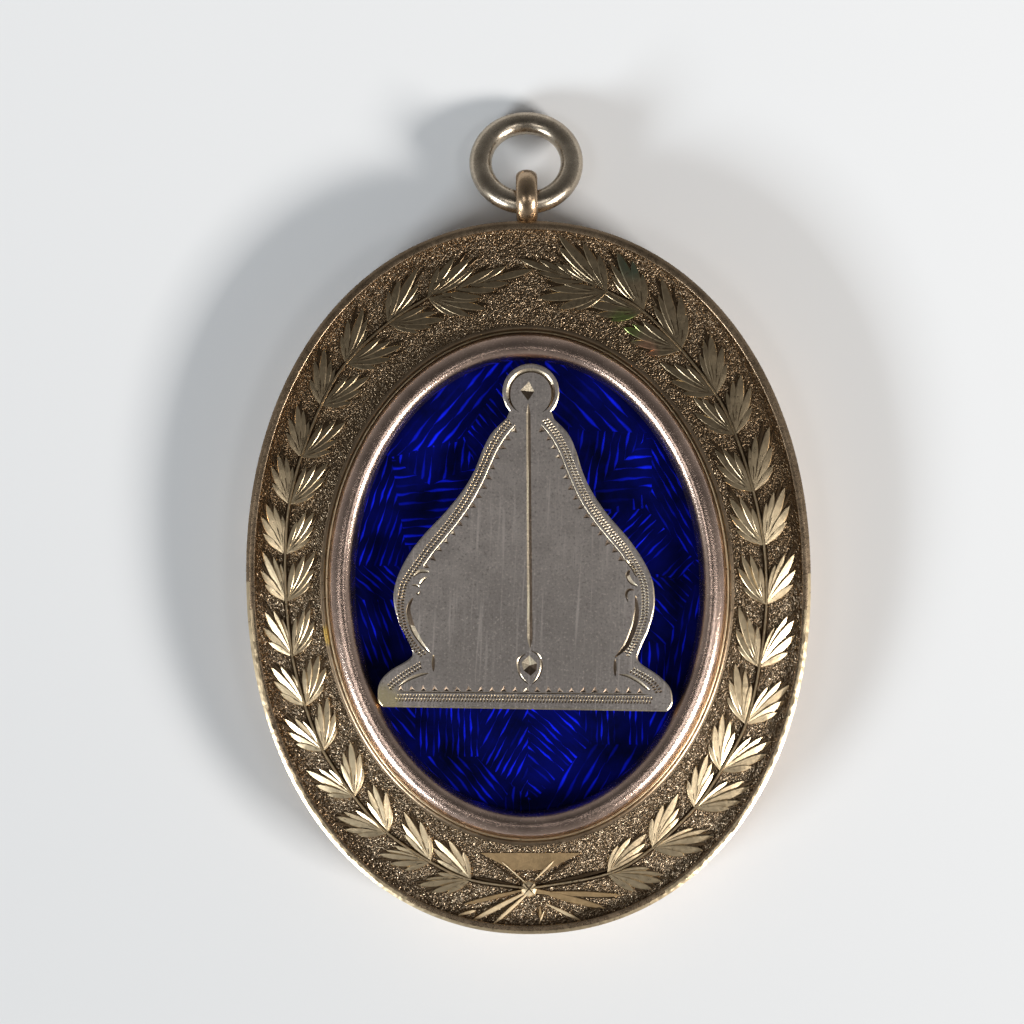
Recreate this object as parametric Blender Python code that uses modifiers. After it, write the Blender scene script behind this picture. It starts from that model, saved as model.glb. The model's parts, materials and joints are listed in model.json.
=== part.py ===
"""Oval collar jewel of silver gilt: a hollow frame with a laurel wreath, an enamel window and a plumb.

The jewel lies on its back. The origin is the centre of the oval on the back face, +Y points to the
suspension ring and +Z out of the front. All sizes are in metres.
"""

import math

import bmesh
import bpy
from mathutils import Matrix, Vector

# Frame: the deep oval body
BODY_WIDTH = 0.0706
BODY_HEIGHT = 0.0892
BODY_DEPTH = 0.0080
OUTLINE_FULLNESS = 2.12
WALL = 0.0015
SHEET = 0.0010
EDGE_BREAK = 0.0004
RIM_WIDTH = 0.00105
RIM_BEVEL = 0.00028
RIM_STEP = 0.0010
FIELD_RISE = 0.0009
COLLAR_WIDTH = 0.0012
COLLAR_RISE = 0.0007
COLLAR_FOOT = 0.00054
COLLAR_HOLLOW = 0.0001
LINE_WIDTH = 0.00035

# Window: the enamel panel and the half-round bezel that holds it
WINDOW_WIDTH = 0.0431
WINDOW_HEIGHT = 0.0564
WINDOW_DROP = 0.0010
WINDOW_SHIFT = -0.00016
BEAD_WIDTH = 0.00305
BEAD_RISE = 0.0026
BEZEL_WALL = 0.0010
PANEL_TOP = 0.0069
PANEL_THICKNESS = 0.0015
LEDGE_REACH = 0.0008
FIT_GAP = 0.0003

# Back plate
REBATE = 0.0007
BACK_THICKNESS = 0.0009

# Plumb plate
PLATE_DROP = 0.0164
PLATE_SIDE_GAP = 0.0004
PLATE_HEAD_GAP = 0.0005
PLATE_THICKNESS = 0.0010
PLATE_LIFT = 0.0013
PLATE_LEAN = math.radians(-1.78)
PLATE_SHIFT = -0.0006
FINIAL_RADIUS = 0.00354
POST_RADIUS = 0.0012
POST_ROOT = 0.0003
CUT_DEPTH = 0.00030
LINE_CUT = 0.00046
LINE_LENGTH = 0.0344
LINE_LEAN = math.radians(1.45)
MARK_HALF = 0.00105
MARK_SHIFT = -0.00047
MARK_LIFT = 0.00028
BOB_LENGTH = 0.0044
BOB_WIDTH = 0.0030
SHOE_RADIUS = 0.0030
SHOE_WIDTH = 0.00046
SHOE_MOUTH = math.radians(76)

# Suspension: a loop soldered to the top of the frame and a round ring through it
RING_WIRE = 0.00284
RING_BORE = 0.00866
RING_TILT = math.radians(24.5)
LOOP_WIDTH = 0.0027
LOOP_WIRE = 0.00165
LOOP_REACH = 0.0020
LOOP_SHIFT = 0.0005
LOOP_SOLDER = 0.0004
LOOP_ROUNDING = 0.0007
RING_CLEARANCE = 0.00045
RING_LIE = 0.00002

# Wreath: two branches of lobed leaves that rise from a bow
STEM_WIDTH = 0.00056
STEM_RELIEF = 0.00020
STEM_ROOT = 0.00040
RELIEF = 0.00034
RELIEF_ROOT = 0.00055
LEAF_LENGTH = 0.0067
LEAF_WIDTH = 0.0034
LEAF_GROWTH = 0.25
PAD_STEP = 0.00003
LEAF_LEVELS = 5
TIP_LEAF_WIDTH = 0.0040
KNOT_RADIUS = 0.0011
KNOT_SHARE = 0.57
KNOT_SHIFT = -0.0005
BOW_REACH = 0.0103
STROKE_WIDTH = 0.0010

# Fineness of the round forms
OVAL_SIDES = 72
BEAD_STEPS = 8
STEM_STEPS = 160
FINIAL_STEPS = 18
BOB_STEPS = 12
KNOT_SIDES = 8
POST_SIDES = 10
RING_SIDES = 12
RING_SEGMENTS = 40
LOOP_SEGMENTS = 28

# The two branches: lengths along the stem as shares of a leaf's length, and the stem's place as shares
# of the field's width
BRANCHES = (
    {"side": -1, "pitch": 0.954, "first": 1.194, "tip_leaf": 1.851, "outer_leaf": 0.955,
     "inner_leaf": 1.0, "outer_turn": math.radians(25), "inner_turn": math.radians(-37),
     "foot_share": 0.57, "middle_share": 0.50, "tip_share": 0.57, "past_top": 0.134},
    {"side": 1, "pitch": 1.024, "first": 1.463, "tip_leaf": 1.627, "outer_leaf": 1.104,
     "inner_leaf": 1.030, "outer_turn": math.radians(29), "inner_turn": math.radians(-31),
     "foot_share": 0.57, "middle_share": 0.44, "tip_share": 0.67, "past_top": 0.060},
)
STEM_BEND = 4

# Half a leaf as shares of its length and of half its width: a lobe's point, then the cut behind it
LEAF_LOBES = (
    # along, across
    (0.05, 0.14),
    (0.46, 0.92),
    (0.37, 0.42),
    (0.70, 1.00),
    (0.60, 0.40),
    (0.87, 0.62),
    (0.79, 0.20),
)

# The plumb plate below its finial, as shares of the plate's height and of half its width
PLATE_PROFILE = (
    # height, right half, left half
    (0.000, 0.962, 0.975),
    (0.014, 0.990, 1.002),
    (0.032, 1.000, 1.010),
    (0.070, 0.980, 0.998),
    (0.104, 0.900, 0.930),
    (0.136, 0.785, 0.810),
    (0.156, 0.757, 0.776),
    (0.192, 0.785, 0.808),
    (0.235, 0.828, 0.865),
    (0.290, 0.862, 0.905),
    (0.332, 0.866, 0.912),
    (0.383, 0.846, 0.882),
    (0.443, 0.775, 0.812),
    (0.503, 0.672, 0.707),
    (0.568, 0.535, 0.566),
    (0.633, 0.427, 0.448),
    (0.691, 0.360, 0.372),
    (0.747, 0.317, 0.322),
    (0.798, 0.261, 0.261),
    (0.842, 0.160, 0.160),
)
PLATE_CORNER = 0.032

# The plate's hidden posts, as shares of its width and height
POST_PLACES = (
    # right, up
    (-0.28, 0.10),
    (0.28, 0.10),
    (0.0, 0.80),
)

# Strokes of the bow: where each ends from the knot as shares of the bow's reach, and its breadth as a
# share of the widest stroke's
BOW_STROKES = (
    # right, up, breadth
    (-0.612, 0.437, 0.52),
    (0.660, 0.427, 0.52),
    (-0.330, 0.311, 0.40),
    (0.282, 0.330, 0.52),
    (-0.806, -0.175, 1.00),
    (-0.680, -0.388, 0.72),
    (-0.447, -0.466, 0.72),
    (0.126, -0.311, 0.92),
    (0.680, -0.379, 1.00),
    (1.000, -0.107, 1.00),
)

# The plain band between the bow's upper strokes: corners from the knot as shares of the bow's reach
BOW_BAND = (
    # right, up
    (-0.175, 0.223),
    (0.194, 0.223),
    (0.553, 0.447),
    (0.194, 0.398),
    (-0.175, 0.398),
    (-0.505, 0.447),
)

FINISHES = {
    # name: colour, roughness, metallic
    "gilt": ((0.36, 0.27, 0.16, 1.0), 0.34, 1.0),
    "rose_metal": ((0.42, 0.30, 0.25, 1.0), 0.28, 1.0),
    "enamel": ((0.010, 0.025, 0.45, 1.0), 0.12, 0.0),
    "silver": ((0.42, 0.38, 0.35, 1.0), 0.38, 1.0),
}

# How finely a point is searched on the field, where a weld merges, and what counts as a sharp edge
SEARCH_STEPS = 6
SEARCH_ANGLE = 0.01
WELD_REACH = 1e-6
FLAT_ANGLE = 0.001
SHARP_ANGLE = math.radians(40)

# Levels worked out from the sizes above
FIELD_EDGE = BODY_DEPTH - RIM_STEP
FIELD_TOP = FIELD_EDGE + FIELD_RISE
COLLAR_TOP = FIELD_TOP + COLLAR_RISE
LEDGE_TOP = PANEL_TOP - PANEL_THICKNESS - FIT_GAP
BEZEL_FOOT = PANEL_TOP + FIT_GAP
SEAT_GROW = BEAD_WIDTH + FIT_GAP
LINE_GROW = SEAT_GROW + LINE_WIDTH
BAND_GROW = LINE_GROW + COLLAR_WIDTH
PLATE_TOP = PANEL_TOP + PLATE_LIFT + PLATE_THICKNESS
PLATE_HEIGHT = WINDOW_HEIGHT / 2 - WINDOW_DROP + PLATE_DROP - PLATE_HEAD_GAP
CORNER_DROP = PLATE_DROP - PLATE_CORNER * PLATE_HEIGHT - WINDOW_DROP
WINDOW_CHORD = WINDOW_WIDTH * math.sqrt(1 - (2 * CORNER_DROP / WINDOW_HEIGHT) ** 2)
PLATE_WIDTH = WINDOW_CHORD - 2 * PLATE_SIDE_GAP
FINIAL_CENTRE = Vector((0, PLATE_HEIGHT - FINIAL_RADIUS))
MARK_CENTRE = FINIAL_CENTRE + Vector((MARK_SHIFT, MARK_LIFT))
RING_RADIUS = (RING_BORE + RING_WIRE) / 2
PIVOT_Z = RING_LIE + RING_WIRE / 2 + 2 * RING_RADIUS * math.sin(RING_TILT)
HOLE_HALF = RING_WIRE / 2 + RING_CLEARANCE
WALL_TOP_Y = BODY_HEIGHT / 2
PIVOT_Y = WALL_TOP_Y + HOLE_HALF + FIT_GAP + LOOP_SOLDER / 2


def clear_scene():
    """Empty the scene, so that the model stands alone."""
    for thing in list(bpy.data.objects):
        bpy.data.objects.remove(thing, do_unlink=True)


def make_collection(name):
    """A collection of its own in the scene."""
    group = bpy.data.collections.new(name)
    bpy.context.scene.collection.children.link(group)
    return group


def make_material(name):
    """One of the finishes, as a Principled BSDF."""
    colour, roughness, metallic = FINISHES[name]
    material = bpy.data.materials.new(name)
    material.use_nodes = True
    shader = material.node_tree.nodes["Principled BSDF"]
    shader.inputs["Base Color"].default_value = colour
    shader.inputs["Roughness"].default_value = roughness
    shader.inputs["Metallic"].default_value = metallic
    return material


def add_object(name, mesh, group, material=None):
    """Put a mesh in the scene as an object."""
    thing = bpy.data.objects.new(name, mesh)
    group.objects.link(thing)
    if material is not None:
        mesh.materials.append(material)
    return thing


def mesh_from_bmesh(name, shape):
    """Turn a bmesh into a mesh with its faces pointing out."""
    bmesh.ops.recalc_face_normals(shape, faces=shape.faces)
    mesh = bpy.data.meshes.new(name)
    shape.to_mesh(mesh)
    shape.free()
    return mesh


def polar(radius, angle):
    """A flat point at a radius and an angle from the origin."""
    return Vector((radius * math.cos(angle), radius * math.sin(angle)))


def outline(angle, inset=0.0):
    """A point of the body's outline, drawn in by an inset."""
    half_width = BODY_WIDTH / 2 - inset
    half_height = BODY_HEIGHT / 2 - inset
    power = 2 / OUTLINE_FULLNESS
    across = math.copysign(abs(math.cos(angle)) ** power, math.cos(angle))
    up = math.copysign(abs(math.sin(angle)) ** power, math.sin(angle))
    return Vector((half_width * across, half_height * up))


def window(angle, grow=0.0):
    """A point of the window's ellipse, let out by a distance."""
    across = (WINDOW_WIDTH / 2 + grow) * math.cos(angle)
    up = (WINDOW_HEIGHT / 2 + grow) * math.sin(angle)
    return Vector((WINDOW_SHIFT + across, up - WINDOW_DROP))


def field_point(angle, share):
    """A point of the field, from the collar at share 0 to the rim at share 1."""
    return window(angle, BAND_GROW).lerp(outline(angle, RIM_WIDTH), share)


def field_height(share):
    """Height of the field's surface at a share of its width."""
    return FIELD_TOP - FIELD_RISE * share


def field_share(point):
    """Share of the field's width at a point near it, found by a few steps."""
    centre = Vector((WINDOW_SHIFT, -WINDOW_DROP))
    angle = math.atan2((point.y - centre.y) * BODY_WIDTH, (point.x - centre.x) * BODY_HEIGHT)
    share = 0.5
    for _ in range(SEARCH_STEPS):
        inner = field_point(angle, 0.0)
        outer = field_point(angle, 1.0)
        across = outer - inner
        share = (point - inner).dot(across) / across.length_squared
        on_line = inner + across * share
        ahead = field_point(angle + SEARCH_ANGLE, share)
        behind = field_point(angle - SEARCH_ANGLE, share)
        along = (ahead - behind) / (2 * SEARCH_ANGLE)
        angle += (point - on_line).dot(along) / along.length_squared
    return share


def loft(name, rings, closed):
    """Skin a list of rings of points: as a tube bent round to itself, or as a solid with two ends."""
    shape = bmesh.new()
    loops = [[shape.verts.new(point) for point in ring] for ring in rings]
    count = len(loops[0])
    pairs = list(zip(loops, loops[1:]))
    if closed:
        pairs.append((loops[-1], loops[0]))
    for low, high in pairs:
        for i in range(count):
            j = (i + 1) % count
            shape.faces.new((low[i], low[j], high[j], high[i]))
    if not closed:
        shape.faces.new(loops[0])
        shape.faces.new(loops[-1])
    return mesh_from_bmesh(name, shape)


def oval_rings(section):
    """Rings of points for a section given as rows of curve, offset and height."""
    angles = [2 * math.pi * i / OVAL_SIDES for i in range(OVAL_SIDES)]
    return [[curve(angle, offset).to_3d() + Vector((0, 0, height)) for angle in angles]
            for curve, offset, height in section]


def unite(body, addition, itself=False):
    """Join a second object to the first as one solid, and remove the second."""
    modifier = body.modifiers.new("join", "BOOLEAN")
    modifier.operation = "UNION"
    modifier.solver = "EXACT"
    modifier.use_self = itself
    modifier.object = addition
    apply_modifiers(body)
    bpy.data.objects.remove(addition, do_unlink=True)


def cut(body, cutter):
    """Cut the second object out of the first, and remove it."""
    modifier = body.modifiers.new("cut", "BOOLEAN")
    modifier.operation = "DIFFERENCE"
    modifier.solver = "EXACT"
    modifier.use_self = True
    modifier.object = cutter
    apply_modifiers(body)
    bpy.data.objects.remove(cutter, do_unlink=True)


def apply_modifiers(thing):
    """Make an object's evaluated form its own mesh."""
    bpy.context.view_layer.update()
    evaluated = thing.evaluated_get(bpy.context.evaluated_depsgraph_get())
    mesh = bpy.data.meshes.new_from_object(evaluated)
    old = thing.data
    thing.modifiers.clear()
    thing.data = mesh
    bpy.data.meshes.remove(old)


def pad_into(shape, points, height_at, top, root):
    """Add a flat-topped pad to a bmesh: an outline draped over a surface, from root below to top."""
    upper = [shape.verts.new((p.x, p.y, height_at(p) + top)) for p in points]
    lower = [shape.verts.new((p.x, p.y, height_at(p) - root)) for p in points]
    shape.faces.new(upper)
    shape.faces.new(list(reversed(lower)))
    count = len(points)
    for i in range(count):
        j = (i + 1) % count
        shape.faces.new((lower[i], lower[j], upper[j], upper[i]))


def ribbon_into(shape, right, left, height_at, top, root):
    """Add a narrow flat-topped strip to a bmesh: a chain of boxes between two draped edges."""
    right_top = [shape.verts.new((p.x, p.y, height_at(p) + top)) for p in right]
    left_top = [shape.verts.new((p.x, p.y, height_at(p) + top)) for p in left]
    right_low = [shape.verts.new((p.x, p.y, height_at(p) - root)) for p in right]
    left_low = [shape.verts.new((p.x, p.y, height_at(p) - root)) for p in left]
    rails = (right_top, left_top, left_low, right_low)
    for rail, beside in zip(rails, rails[1:] + rails[:1]):
        for i in range(len(right) - 1):
            shape.faces.new((rail[i], rail[i + 1], beside[i + 1], beside[i]))
    shape.faces.new([rail[0] for rail in rails])
    shape.faces.new([rail[-1] for rail in rails])


def leaf_outline(length, width):
    """Points round a lobed leaf that starts at the origin and runs along +X."""
    side = [(along * length, across * width / 2) for along, across in LEAF_LOBES]
    right = [Vector((x, -y)) for x, y in side]
    left = [Vector((x, y)) for x, y in reversed(side)]
    return [Vector((0, 0))] + right + [Vector((length, 0))] + left


def place(points, start, turn):
    """Turn flat points about the origin and move them."""
    rotation = Matrix.Rotation(turn, 2)
    return [rotation @ point + start for point in points]


def surface_height(point):
    """Height of the field under a point."""
    return field_height(field_share(point))


def knot_centre():
    """Middle of the bow, at the foot of the wreath."""
    return field_point(-math.pi / 2, KNOT_SHARE) + Vector((KNOT_SHIFT, 0))


def stem_path(branch):
    """Points along a branch's stem, from the bow to the top, with the length up to each."""
    points = []
    sweep = math.pi + 2 * branch["past_top"] * LEAF_LENGTH / BODY_WIDTH
    for i in range(STEM_STEPS + 1):
        climb = i / STEM_STEPS
        angle = -math.pi / 2 + branch["side"] * sweep * climb
        end_share = branch["foot_share"] if climb < 0.5 else branch["tip_share"]
        bend = abs(2 * climb - 1) ** STEM_BEND
        share = branch["middle_share"] + (end_share - branch["middle_share"]) * bend
        points.append(field_point(angle, share))
    lengths = [0.0]
    for first, second in zip(points, points[1:]):
        lengths.append(lengths[-1] + (second - first).length)
    return points, lengths


def stem_at(points, lengths, distance):
    """Place and direction of a stem at a distance from its foot."""
    i = 1
    while i < len(lengths) - 1 and lengths[i] < distance:
        i += 1
    share = (distance - lengths[i - 1]) / (lengths[i] - lengths[i - 1])
    along = points[i] - points[i - 1]
    return points[i - 1].lerp(points[i], share), math.atan2(along.y, along.x)


def branch_leaves(branch):
    """Outlines of all the leaves of one branch: pairs along the stem and a long one at its tip."""
    points, lengths = stem_path(branch)
    first = branch["first"] * LEAF_LENGTH
    last = lengths[-1] - branch["tip_leaf"] * LEAF_LENGTH
    gaps = round((last - first) / (branch["pitch"] * LEAF_LENGTH))
    leaves = []
    for i in range(gaps + 1):
        start, heading = stem_at(points, lengths, first + (last - first) * i / gaps)
        rise = max(0.0, 2 * start.y / BODY_HEIGHT)
        growth = 1 + LEAF_GROWTH * rise ** 2
        for leaf in ("outer", "inner"):
            turn = heading - branch["side"] * branch[leaf + "_turn"]
            length = branch[leaf + "_leaf"] * LEAF_LENGTH * growth
            leaves.append(place(leaf_outline(length, LEAF_WIDTH), start, turn))
    start, _ = stem_at(points, lengths, last)
    to_tip = points[-1] - start
    tip = leaf_outline(to_tip.length, TIP_LEAF_WIDTH)
    leaves.append(place(tip, start, math.atan2(to_tip.y, to_tip.x)))
    return leaves


def stem_strip(branch):
    """The two edges of one stem, a narrow strip that ends under the tip's leaf."""
    points, lengths = stem_path(branch)
    end = lengths[-1] - branch["tip_leaf"] * LEAF_LENGTH / 2
    count = round(2 * end / (branch["pitch"] * LEAF_LENGTH))
    right = []
    left = []
    for i in range(count + 1):
        centre, heading = stem_at(points, lengths, end * i / count)
        across = polar(STEM_WIDTH / 2, heading + math.pi / 2)
        right.append(centre - across)
        left.append(centre + across)
    return right, left


def spindle(start, end, breadth):
    """Outline of a stroke that is narrow at its start, swells in its middle and ends in a point."""
    along = end - start
    across = Vector((-along.y, along.x)).normalized() * breadth / 2
    middle = start.lerp(end, 0.5)
    return [start - across / 3, middle - across, end, middle + across, start + across / 3]


def make_wreath(group):
    """The wreath's relief as one mesh of pads that reach into the field's metal."""
    shape = bmesh.new()
    for branch in BRANCHES:
        right, left = stem_strip(branch)
        ribbon_into(shape, right, left, surface_height, STEM_RELIEF, STEM_ROOT)
        for i, points in enumerate(branch_leaves(branch)):
            step = (i % LEAF_LEVELS + 1) * PAD_STEP
            pad_into(shape, points, surface_height, RELIEF + step, RELIEF_ROOT + step)
    knot = knot_centre()
    band = [knot + Vector(corner) * BOW_REACH for corner in BOW_BAND]
    pad_into(shape, band, surface_height, RELIEF / 2, RELIEF_ROOT / 2)
    for i, (right, up, breadth) in enumerate(BOW_STROKES):
        step = (i - len(BOW_STROKES)) * PAD_STEP / 2
        stroke = spindle(knot, knot + Vector((right, up)) * BOW_REACH, breadth * STROKE_WIDTH)
        pad_into(shape, stroke, surface_height, RELIEF + step, RELIEF_ROOT + step)
    disc = [knot + polar(KNOT_RADIUS, 2 * math.pi * k / KNOT_SIDES) for k in range(KNOT_SIDES)]
    pad_into(shape, disc, surface_height, 2 * RELIEF, RELIEF_ROOT)
    return add_object("wreath", mesh_from_bmesh("wreath", shape), group)


def make_loop(group):
    """The loop that is soldered to the frame's top edge, with its hole along X."""
    hole_end = PIVOT_Y + HOLE_HALF + FIT_GAP
    hole_start = WALL_TOP_Y + LOOP_SOLDER
    outer_end = hole_end + LOOP_REACH
    outer_start = WALL_TOP_Y - LOOP_SOLDER
    curve = bpy.data.curves.new("loop", "CURVE")
    curve.dimensions = "2D"
    curve.fill_mode = "BOTH"
    curve.extrude = LOOP_WIDTH / 2
    rounds = ((outer_start, outer_end, HOLE_HALF + LOOP_WIRE), (hole_start, hole_end, HOLE_HALF))
    for low, high, half in rounds:
        spline = curve.splines.new("POLY")
        spline.points.add(LOOP_SEGMENTS - 1)
        for i in range(LOOP_SEGMENTS):
            angle = 2 * math.pi * i / LOOP_SEGMENTS
            along = (low + high) / 2 + (high - low) / 2 * math.cos(angle)
            spline.points[i].co = (along, half * math.sin(angle), 0, 1)
        spline.use_cyclic_u = True
    carrier = bpy.data.objects.new("loop_curve", curve)
    group.objects.link(carrier)
    bpy.context.view_layer.update()
    evaluated = carrier.evaluated_get(bpy.context.evaluated_depsgraph_get())
    mesh = bpy.data.meshes.new_from_object(evaluated)
    shape = bmesh.new()
    shape.from_mesh(mesh)
    bmesh.ops.remove_doubles(shape, verts=shape.verts, dist=WELD_REACH)
    bmesh.ops.dissolve_limit(shape, angle_limit=FLAT_ANGLE, verts=shape.verts, edges=shape.edges)
    shape.to_mesh(mesh)
    shape.free()
    bpy.data.objects.remove(carrier, do_unlink=True)
    thing = add_object("loop", mesh, group)
    bevel = thing.modifiers.new("rounding", "BEVEL")
    bevel.width = LOOP_ROUNDING
    bevel.segments = 2
    bevel.limit_method = "ANGLE"
    bevel.angle_limit = SHARP_ANGLE
    apply_modifiers(thing)
    to_world = Matrix(((0, 0, 1, LOOP_SHIFT), (1, 0, 0, 0), (0, 1, 0, PIVOT_Z), (0, 0, 0, 1)))
    thing.data.transform(to_world)
    return thing


def make_frame(group, workshop, material):
    """The hollow oval frame with its rim, field, collar, ledges, wreath and loop."""
    section = (
        (outline, EDGE_BREAK, 0.0),
        (outline, 0.0, EDGE_BREAK),
        (outline, 0.0, BODY_DEPTH - RIM_BEVEL),
        (outline, RIM_BEVEL, BODY_DEPTH),
        (outline, RIM_WIDTH - RIM_BEVEL, BODY_DEPTH),
        (outline, RIM_WIDTH, FIELD_EDGE),
        (window, BAND_GROW, FIELD_TOP),
        (window, BAND_GROW - COLLAR_FOOT, FIELD_TOP + COLLAR_HOLLOW),
        (window, LINE_GROW, COLLAR_TOP),
        (window, SEAT_GROW, COLLAR_TOP),
        (window, SEAT_GROW, LEDGE_TOP),
        (window, -LEDGE_REACH, LEDGE_TOP),
        (window, -LEDGE_REACH, LEDGE_TOP - SHEET),
        (window, SEAT_GROW + SHEET, LEDGE_TOP - SHEET),
        (window, SEAT_GROW + SHEET, FIELD_TOP - SHEET),
        (outline, WALL, FIELD_EDGE - SHEET),
        (outline, WALL, BACK_THICKNESS + FIT_GAP),
        (outline, REBATE, BACK_THICKNESS + FIT_GAP),
        (outline, REBATE, 0.0),
    )
    body = add_object("frame", loft("frame", oval_rings(section), closed=True), group)
    unite(body, make_wreath(workshop), itself=True)
    unite(body, make_loop(workshop))
    body.data.materials.clear()
    body.data.materials.append(material)
    return body


def make_bezel(group, material):
    """The half-round bead that holds the panel, with a wall that stands on the ledge."""
    section = []
    for i in range(BEAD_STEPS + 1):
        angle = math.pi * i / BEAD_STEPS
        grow = BEAD_WIDTH / 2 * (1 - math.cos(angle))
        section.append((window, grow, BEZEL_FOOT + BEAD_RISE * math.sin(angle)))
    section.append((window, BEAD_WIDTH, LEDGE_TOP + FIT_GAP))
    section.append((window, BEAD_WIDTH - BEZEL_WALL, LEDGE_TOP + FIT_GAP))
    section.append((window, BEAD_WIDTH - BEZEL_WALL, BEZEL_FOOT))
    thing = add_object("bezel", loft("bezel", oval_rings(section), closed=True), group, material)
    thing.data.shade_smooth()
    thing.data.set_sharp_from_angle(angle=SHARP_ANGLE)
    return thing


def make_panel(group, material):
    """The enamelled panel under the bezel."""
    grow = BEAD_WIDTH - BEZEL_WALL - FIT_GAP
    section = ((window, grow, PANEL_TOP - PANEL_THICKNESS), (window, grow, PANEL_TOP))
    mesh = loft("enamel_panel", oval_rings(section), closed=False)
    return add_object("enamel_panel", mesh, group, material)


def make_back(group, material):
    """The plate that closes the back, let into the frame's rebate."""
    inset = REBATE + FIT_GAP
    section = (
        (outline, inset + EDGE_BREAK / 2, 0.0),
        (outline, inset, EDGE_BREAK / 2),
        (outline, inset, BACK_THICKNESS),
    )
    mesh = loft("back_plate", oval_rings(section), closed=False)
    return add_object("back_plate", mesh, group, material)


def plate_outline():
    """Points round the plumb plate: base, bell-shaped sides and round finial."""
    rows = [(height * PLATE_HEIGHT, right, left) for height, right, left in PLATE_PROFILE]
    right_side = [Vector((right * PLATE_WIDTH / 2, height)) for height, right, _ in rows]
    left_side = [Vector((-left * PLATE_WIDTH / 2, height)) for height, _, left in reversed(rows)]
    neck = right_side[-1] - FINIAL_CENTRE
    start = math.atan2(neck.y, neck.x)
    sweep = math.pi - 2 * start
    arc = [FINIAL_CENTRE + polar(FINIAL_RADIUS, start + sweep * k / FINIAL_STEPS)
           for k in range(FINIAL_STEPS + 1)]
    return right_side + arc + left_side


def flat_height(_point):
    """Height of the plate's top, which is flat."""
    return 0.0


def plate_cutters(group):
    """What is cut into the plate: the plumb line, its bob, the mark at its top and the finial's shoe."""
    along = polar(1.0, LINE_LEAN - math.pi / 2)
    across = Vector((-along.y, along.x))
    half = across * LINE_CUT / 2
    bob = MARK_CENTRE + along * LINE_LENGTH
    shape = bmesh.new()
    line = [MARK_CENTRE - half, MARK_CENTRE + half, bob + half, bob - half]
    pad_into(shape, line, flat_height, CUT_DEPTH, CUT_DEPTH)
    lozenge = [MARK_CENTRE + polar(MARK_HALF, math.pi / 2 * k) for k in range(4)]
    pad_into(shape, lozenge, flat_height, CUT_DEPTH + PAD_STEP, CUT_DEPTH + PAD_STEP)
    pear = []
    for k in range(BOB_STEPS):
        angle = 2 * math.pi * k / BOB_STEPS
        reach = BOB_WIDTH / 2 * math.sin(angle) * abs(math.sin(angle))
        pear.append(bob + along * BOB_LENGTH / 2 * math.cos(angle) + across * reach)
    pad_into(shape, pear, flat_height, CUT_DEPTH + 2 * PAD_STEP, CUT_DEPTH + 2 * PAD_STEP)
    sweep = 2 * math.pi - SHOE_MOUTH
    turns = [(SHOE_MOUTH - math.pi) / 2 + sweep * k / FINIAL_STEPS for k in range(FINIAL_STEPS + 1)]
    shoe = [FINIAL_CENTRE + polar(SHOE_RADIUS, a) for a in turns]
    shoe += [FINIAL_CENTRE + polar(SHOE_RADIUS - SHOE_WIDTH, a) for a in reversed(turns)]
    pad_into(shape, shoe, flat_height, CUT_DEPTH, CUT_DEPTH)
    return add_object("plate_cuts", mesh_from_bmesh("plate_cuts", shape), group)


def make_plate(group, workshop, material):
    """The plumb plate on its hidden posts, with its engraving."""
    shape = bmesh.new()
    pad_into(shape, plate_outline(), flat_height, 0.0, PLATE_THICKNESS)
    thing = add_object("plumb_plate", mesh_from_bmesh("plumb_plate", shape), group)
    cut(thing, plate_cutters(workshop))
    foot = FIT_GAP - PLATE_LIFT - PLATE_THICKNESS
    root = POST_ROOT - PLATE_THICKNESS
    for right, up in POST_PLACES:
        bpy.ops.mesh.primitive_cylinder_add(
            vertices=POST_SIDES, radius=POST_RADIUS, depth=root - foot,
            location=(right * PLATE_WIDTH, up * PLATE_HEIGHT, (root + foot) / 2))
        unite(thing, bpy.context.object)
    thing.data.materials.clear()
    thing.data.materials.append(material)
    thing.location = (PLATE_SHIFT, -PLATE_DROP, PLATE_TOP)
    thing.rotation_euler = (0, 0, PLATE_LEAN)
    return thing


def make_ring(group, material):
    """The round suspension ring, whose wire passes through the loop on the swing's axis."""
    pivot = bpy.data.objects.new("ring_pivot", None)
    group.objects.link(pivot)
    pivot.location = (LOOP_SHIFT, PIVOT_Y, PIVOT_Z)
    pivot.rotation_euler = (-RING_TILT, 0, 0)
    bpy.ops.mesh.primitive_torus_add(
        major_segments=RING_SEGMENTS, minor_segments=RING_SIDES,
        major_radius=RING_RADIUS, minor_radius=RING_WIRE / 2)
    thing = bpy.context.object
    thing.name = "suspension_ring"
    for owner in list(thing.users_collection):
        owner.objects.unlink(thing)
    group.objects.link(thing)
    thing.data.transform(Matrix.Translation((0, RING_RADIUS, 0)))
    thing.data.materials.append(material)
    thing.data.shade_smooth()
    thing.parent = pivot
    return thing


def main():
    """Build the jewel piece by piece."""
    clear_scene()
    jewel = make_collection("collar_jewel")
    workshop = make_collection("cutters")
    finishes = {name: make_material(name) for name in FINISHES}
    make_frame(jewel, workshop, finishes["gilt"])
    make_back(jewel, finishes["gilt"])
    make_bezel(jewel, finishes["rose_metal"])
    make_panel(jewel, finishes["enamel"])
    make_plate(jewel, workshop, finishes["silver"])
    make_ring(jewel, finishes["gilt"])


main()
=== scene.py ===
"""Looks of an oval silver-gilt collar jewel that lies on its back: wreath, enamel window and plumb.

All sizes are in metres, in the frame of the fixed parts. Places that were read from the photograph are
named pixel coordinates, which place_of_pixel turns into metres.
"""

import json
import math
import random

import bmesh
import bpy
from mathutils import Matrix, Vector
from mathutils.geometry import delaunay_2d_cdt
from mathutils.kdtree import KDTree


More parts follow.
